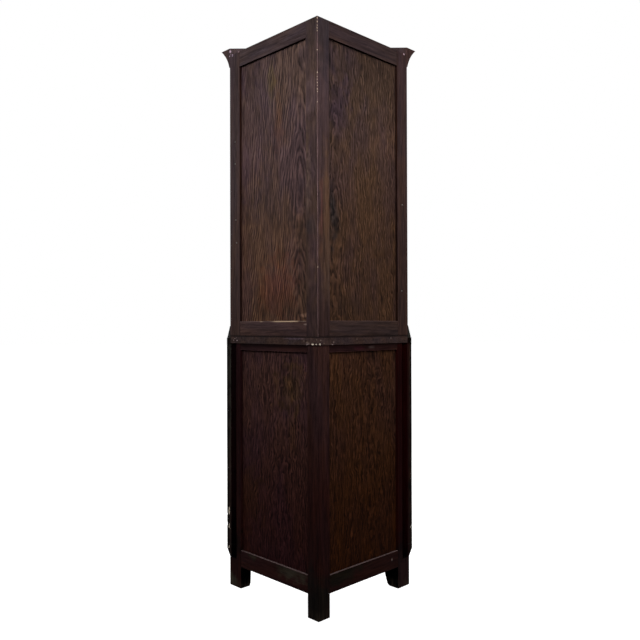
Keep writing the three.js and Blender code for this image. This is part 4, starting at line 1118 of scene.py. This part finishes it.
class CUPBOARD_OT_front_members(CupboardOperator):
    """Lacquer the face frame, the facade and the mouldings, and chip the edges that stand at the walls"""

    bl_idname = "cupboard.front_members"
    bl_label = "Front members"

    # Chips in the facade's ends: (back from its front edge, level, height, width)
    STILE_CHIPS = {
        "left": [(0, 200, 5, 2.2), (0, 188, 4, 1.5), (9, 196, 4, 1.2), (0, 420, 4, 1.2)],
        "right": [(13, 261, 7, 3.2), (12, 250, 10, 3.0), (13, 206, 4, 2.4), (12, 198, 5, 2.8), (0, 240, 5, 2.2),
                  (0, 206, 8, 2.4)],
    }
    BASE_CHIPS = {"right": [(12, 175, 3, 2.2), (11, 129, 6, 2.8)], "left": [(10, 180, 4, 1.6)]}

    def facade_member(self, node, grain, chips, seed):
        """A member of the facade whose back is painted near black, as shade, and whose ends show in the walls."""
        made = self.lacquered(node, grain)
        refinish(made, "stain.recess", lambda face: face.normal.y > 0.9)
        refinish(made, "stain.facade_ends", toward_walls(0.95))
        places = [place for hand, rows in chips.items() for place in upright_chips(HANDS[hand], rows, FACADE_EDGE)]
        settle(chip(made, places, seed, "gesso"), node)

    def wall_stained(self, node, grain="across"):
        """A member of the upper front. What lies in the planes of the walls, or looks back, was stained with them."""
        settle(refinish(self.lacquered(node, grain), "stain.upper_stiles", toward_walls(0.7)), node)

    def execute(self, context):
        for hand in HANDS:
            self.facade_member(f"facade_{hand}_stile", "upright", {hand: self.STILE_CHIPS[hand]}, 31)
            self.wall_stained(f"upper_face_{hand}_stile", "upright")
        for node in ("upper_face_bottom_rail", "upper_face_frieze_rail", "facade_top_rail"):
            settle(self.lacquered(node), node)
        self.facade_member("facade_base_rail", "across", self.BASE_CHIPS, 43)
        self.wall_stained("cornice")
        settle(self.lacquered("waist_moulding"), "waist_moulding")
        return {"FINISHED"}


class CUPBOARD_OT_doors(CupboardOperator):
    """Lacquer the two doors, glaze the upper one and bed its pane in putty"""

    bl_idname = "cupboard.doors"
    bl_label = "Doors"

    def bead(self, name, start, end, front, back, width):
        """A putty fillet in the glass rebate, from one (x, z) to another: a wedge that is deep at the rebate's wall
        and thin at the sight line."""
        bead = added(bpy.ops.mesh.primitive_cube_add, name, size=1, location=(0, 0, 0))
        bead.data.name = name
        start, end = (Vector((x, 0, z)) for x, z in (start, end))
        along = (end - start).normalized()
        inward = Vector((0, 1, 0)).cross(along)
        thin = front + 1.2 * MM
        for vertex in bead.data.vertices:
            far_end, deep, at_wall = vertex.co.x > 0, vertex.co.y > 0, vertex.co.z < 0
            offset = 0 if at_wall else width
            mitre = -along * offset if far_end else along * offset
            vertex.co = (end if far_end else start) + mitre + inward * offset
            vertex.co.y = (back if at_wall else thin) if deep else front
        with whole_mesh(bead):
            face_outward()
        modify(bead, "BEVEL", width=0.5 * MM, segments=2)
        bead.data.materials.append(FINISHES["putty"])
        settle(bead, body="upper_door")

    def execute(self, context):
        for door in CASES:
            for part in ("hinge_stile", "free_stile", "bottom_rail", "top_rail"):
                node = f"{door}_door_{part}"
                settle(self.lacquered(node, "upright" if "stile" in part else "across"), node)
        for node in ("upper_door_glazing_bars", "lower_door_panel"):
            settle(self.lacquered(node, "upright"), node)
        glass = frame["nodes"]["upper_door_glass"]
        glass.data.materials.clear()
        glass.data.materials.append(FINISHES["glass"])
        low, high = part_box("upper_door_glass")
        # The putty reaches from the pane's back to the door's, and a little past the pane's edges
        slack = 0.9 * MM
        front, back = high.y + 0.05 * MM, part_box("upper_door_free_stile")[1].y
        x0, x1, z0, z1 = low.x - slack, high.x + slack, low.z - slack, high.z + slack
        corners = [(x0, z0), (x0, z1), (x1, z1), (x1, z0)]
        for i, side in enumerate(("left", "top", "right", "bottom")):
            self.bead(f"upper_door_{side}_putty", corners[i], corners[(i + 1) % 4], front, back, 6.5 * MM)
        return {"FINISHED"}


class CUPBOARD_OT_fittings(CupboardOperator):
    """Turn the knobs, finish the hinges, and drive their screws and the nails in the walls"""

    bl_idname = "cupboard.fittings"
    bl_label = "Fittings"

    # Rings of the turned pieces, (height, radius) in millimetres above the face that each stands on
    KNOB_FOOT = [(-11, 2.5), (0.3, 2.5), (0.3, 10), (0.9, 10.3), (1.6, 10), (2.5, 8.8), (3.0, 6.6), (4.2, 5.0),
                 (5.2, 4.5), (6.4, 5.4)]
    SCREW = [(-1.0, 1.4), (-0.2, 2.5), (0.1, 2.6), (0.3, 2.2), (0.36, 1.2)]
    NAIL = [(-2, 0.8), (0.0, 0.8), (0.05, 2.0), (0.4, 2.1), (0.8, 1.7), (1.05, 0.8)]

    # The nails: (wall, along it, level)
    NAILS = [(RIGHT, 404, 1524), (RIGHT, 404, 1448), (RIGHT, 401, 1255), (RIGHT, 396, 1176), (LEFT, 405, 1305),
             (LEFT, 402, 1010)]

    def knobs(self):
        """Two knobs, each a ball on a short neck and a round foot"""
        middle, radius, steps = 15, 11, 16
        start = math.asin(self.KNOB_FOOT[-1][1] / radius)
        angles = [start + (math.pi - start) * i / steps for i in range(1, steps)]
        ball = [(middle - radius * math.cos(angle), radius * math.sin(angle)) for angle in angles]
        for door, plane in (("upper", FACE_FRONT_Y), ("lower", FACADE_FRONT_Y)):
            node = f"{door}_door_knob"
            low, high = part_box(node)
            place = Vector(((low.x + high.x) / 2, plane, (low.z + high.z) / 2))
            settle(turned(f"{node}_turned", self.KNOB_FOOT + ball, 40, place, (0, -1, 0), "brass"), node, angle=50)

    def hinges(self):
        for door in CASES:
            for place in ("bottom", "top"):
                for leaf in ("frame", "door"):
                    node = f"{door}_door_{place}_hinge_{leaf}_leaf"
                    piece = merged_copy(node)
                    piece.data.materials.append(FINISHES["brass"])
                    settle(piece, node)
                    self.screws(node, leaf)

    def screws(self, node, leaf):
        """Three countersunk screws in a leaf. Their slots stand at three angles, as they do."""
        low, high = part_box(node)
        facing = 1 if leaf == "frame" else -1
        # How thick the flat of a leaf is, on the side away from the other leaf, and how far in from its edge the
        # screws stand
        sheet, set_back = 1.6 * MM, 6.5 * MM
        across = (low.x if leaf == "frame" else high.x) + facing * sheet
        for i, share in enumerate((0.18, 0.5, 0.82)):
            place = Vector((across, high.y - set_back, low.z + share * (high.z - low.z)))
            screw = turned(f"{node}_screw_{i + 1}", self.SCREW, 20, place, (facing, 0, 0), "brass")
            slot_cutter = added(
                bpy.ops.mesh.primitive_cube_add, "slot_cutter", size=1,
                location=place + Vector((facing * 0.3 * MM, 0, 0)), rotation=(math.radians(20 + 55 * i), 0, 0),
                scale=(0.7 * MM, 0.6 * MM, 7 * MM))
            modify(screw, "BOOLEAN", object=slot_cutter, solver="EXACT")
            bpy.data.objects.remove(slot_cutter)
            settle(screw, body=frame["nodes"][node]["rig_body"])

    def nails(self):
        """Round-headed pins through the outer stiles, standing a little proud"""
        for i, (side, along, level) in enumerate(self.NAILS):
            place = wall_place(side, along, 0, level)
            nail = turned(f"wall_nail_{i + 1}", self.NAIL, 14, place, wall_normal(side), "steel")
            settle(nail, body="case")

    def execute(self, context):
        self.knobs()
        self.hinges()
        self.nails()
        return {"FINISHED"}


class CUPBOARD_PT_workshop(bpy.types.Panel):
    """Lists the cupboard's pieces in the order in which they are made"""

    bl_label = "Corner cupboard"
    bl_space_type = "VIEW_3D"
    bl_region_type = "UI"
    bl_category = "Cupboard"

    def draw(self, context):
        for operator in OPERATORS:
            self.layout.operator(operator.bl_idname)
        for group in (context.scene.cupboard_finish, context.scene.cupboard_studio):
            for name in group.bl_rna.properties.keys():
                if name not in ("rna_type", "name"):
                    self.layout.prop(group, name)


OPERATORS = (
    CUPBOARD_OT_camera,
    CUPBOARD_OT_stage,
    CUPBOARD_OT_finishes,
    CUPBOARD_OT_wall_panels,
    CUPBOARD_OT_wall_frames,
    CUPBOARD_OT_boards,
    CUPBOARD_OT_front_members,
    CUPBOARD_OT_doors,
    CUPBOARD_OT_fittings,
)
CLASSES = (CupboardFinish, CupboardStudio) + OPERATORS + (CUPBOARD_PT_workshop,)


def register():
    for kind in CLASSES:
        bpy.utils.register_class(kind)
    bpy.types.Scene.cupboard_finish = PointerProperty(type=CupboardFinish)
    bpy.types.Scene.cupboard_studio = PointerProperty(type=CupboardStudio)


def unregister():
    del bpy.types.Scene.cupboard_studio
    del bpy.types.Scene.cupboard_finish
    for kind in reversed(CLASSES):
        bpy.utils.unregister_class(kind)


def corners(box):
    return [list(corner) for corner in box]


def main():
    register()
    for operator in OPERATORS:
        group, name = operator.bl_idname.split(".")
        getattr(getattr(bpy.ops, group), name)()
    deselect()
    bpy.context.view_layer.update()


if __name__ == "__main__":
    main()
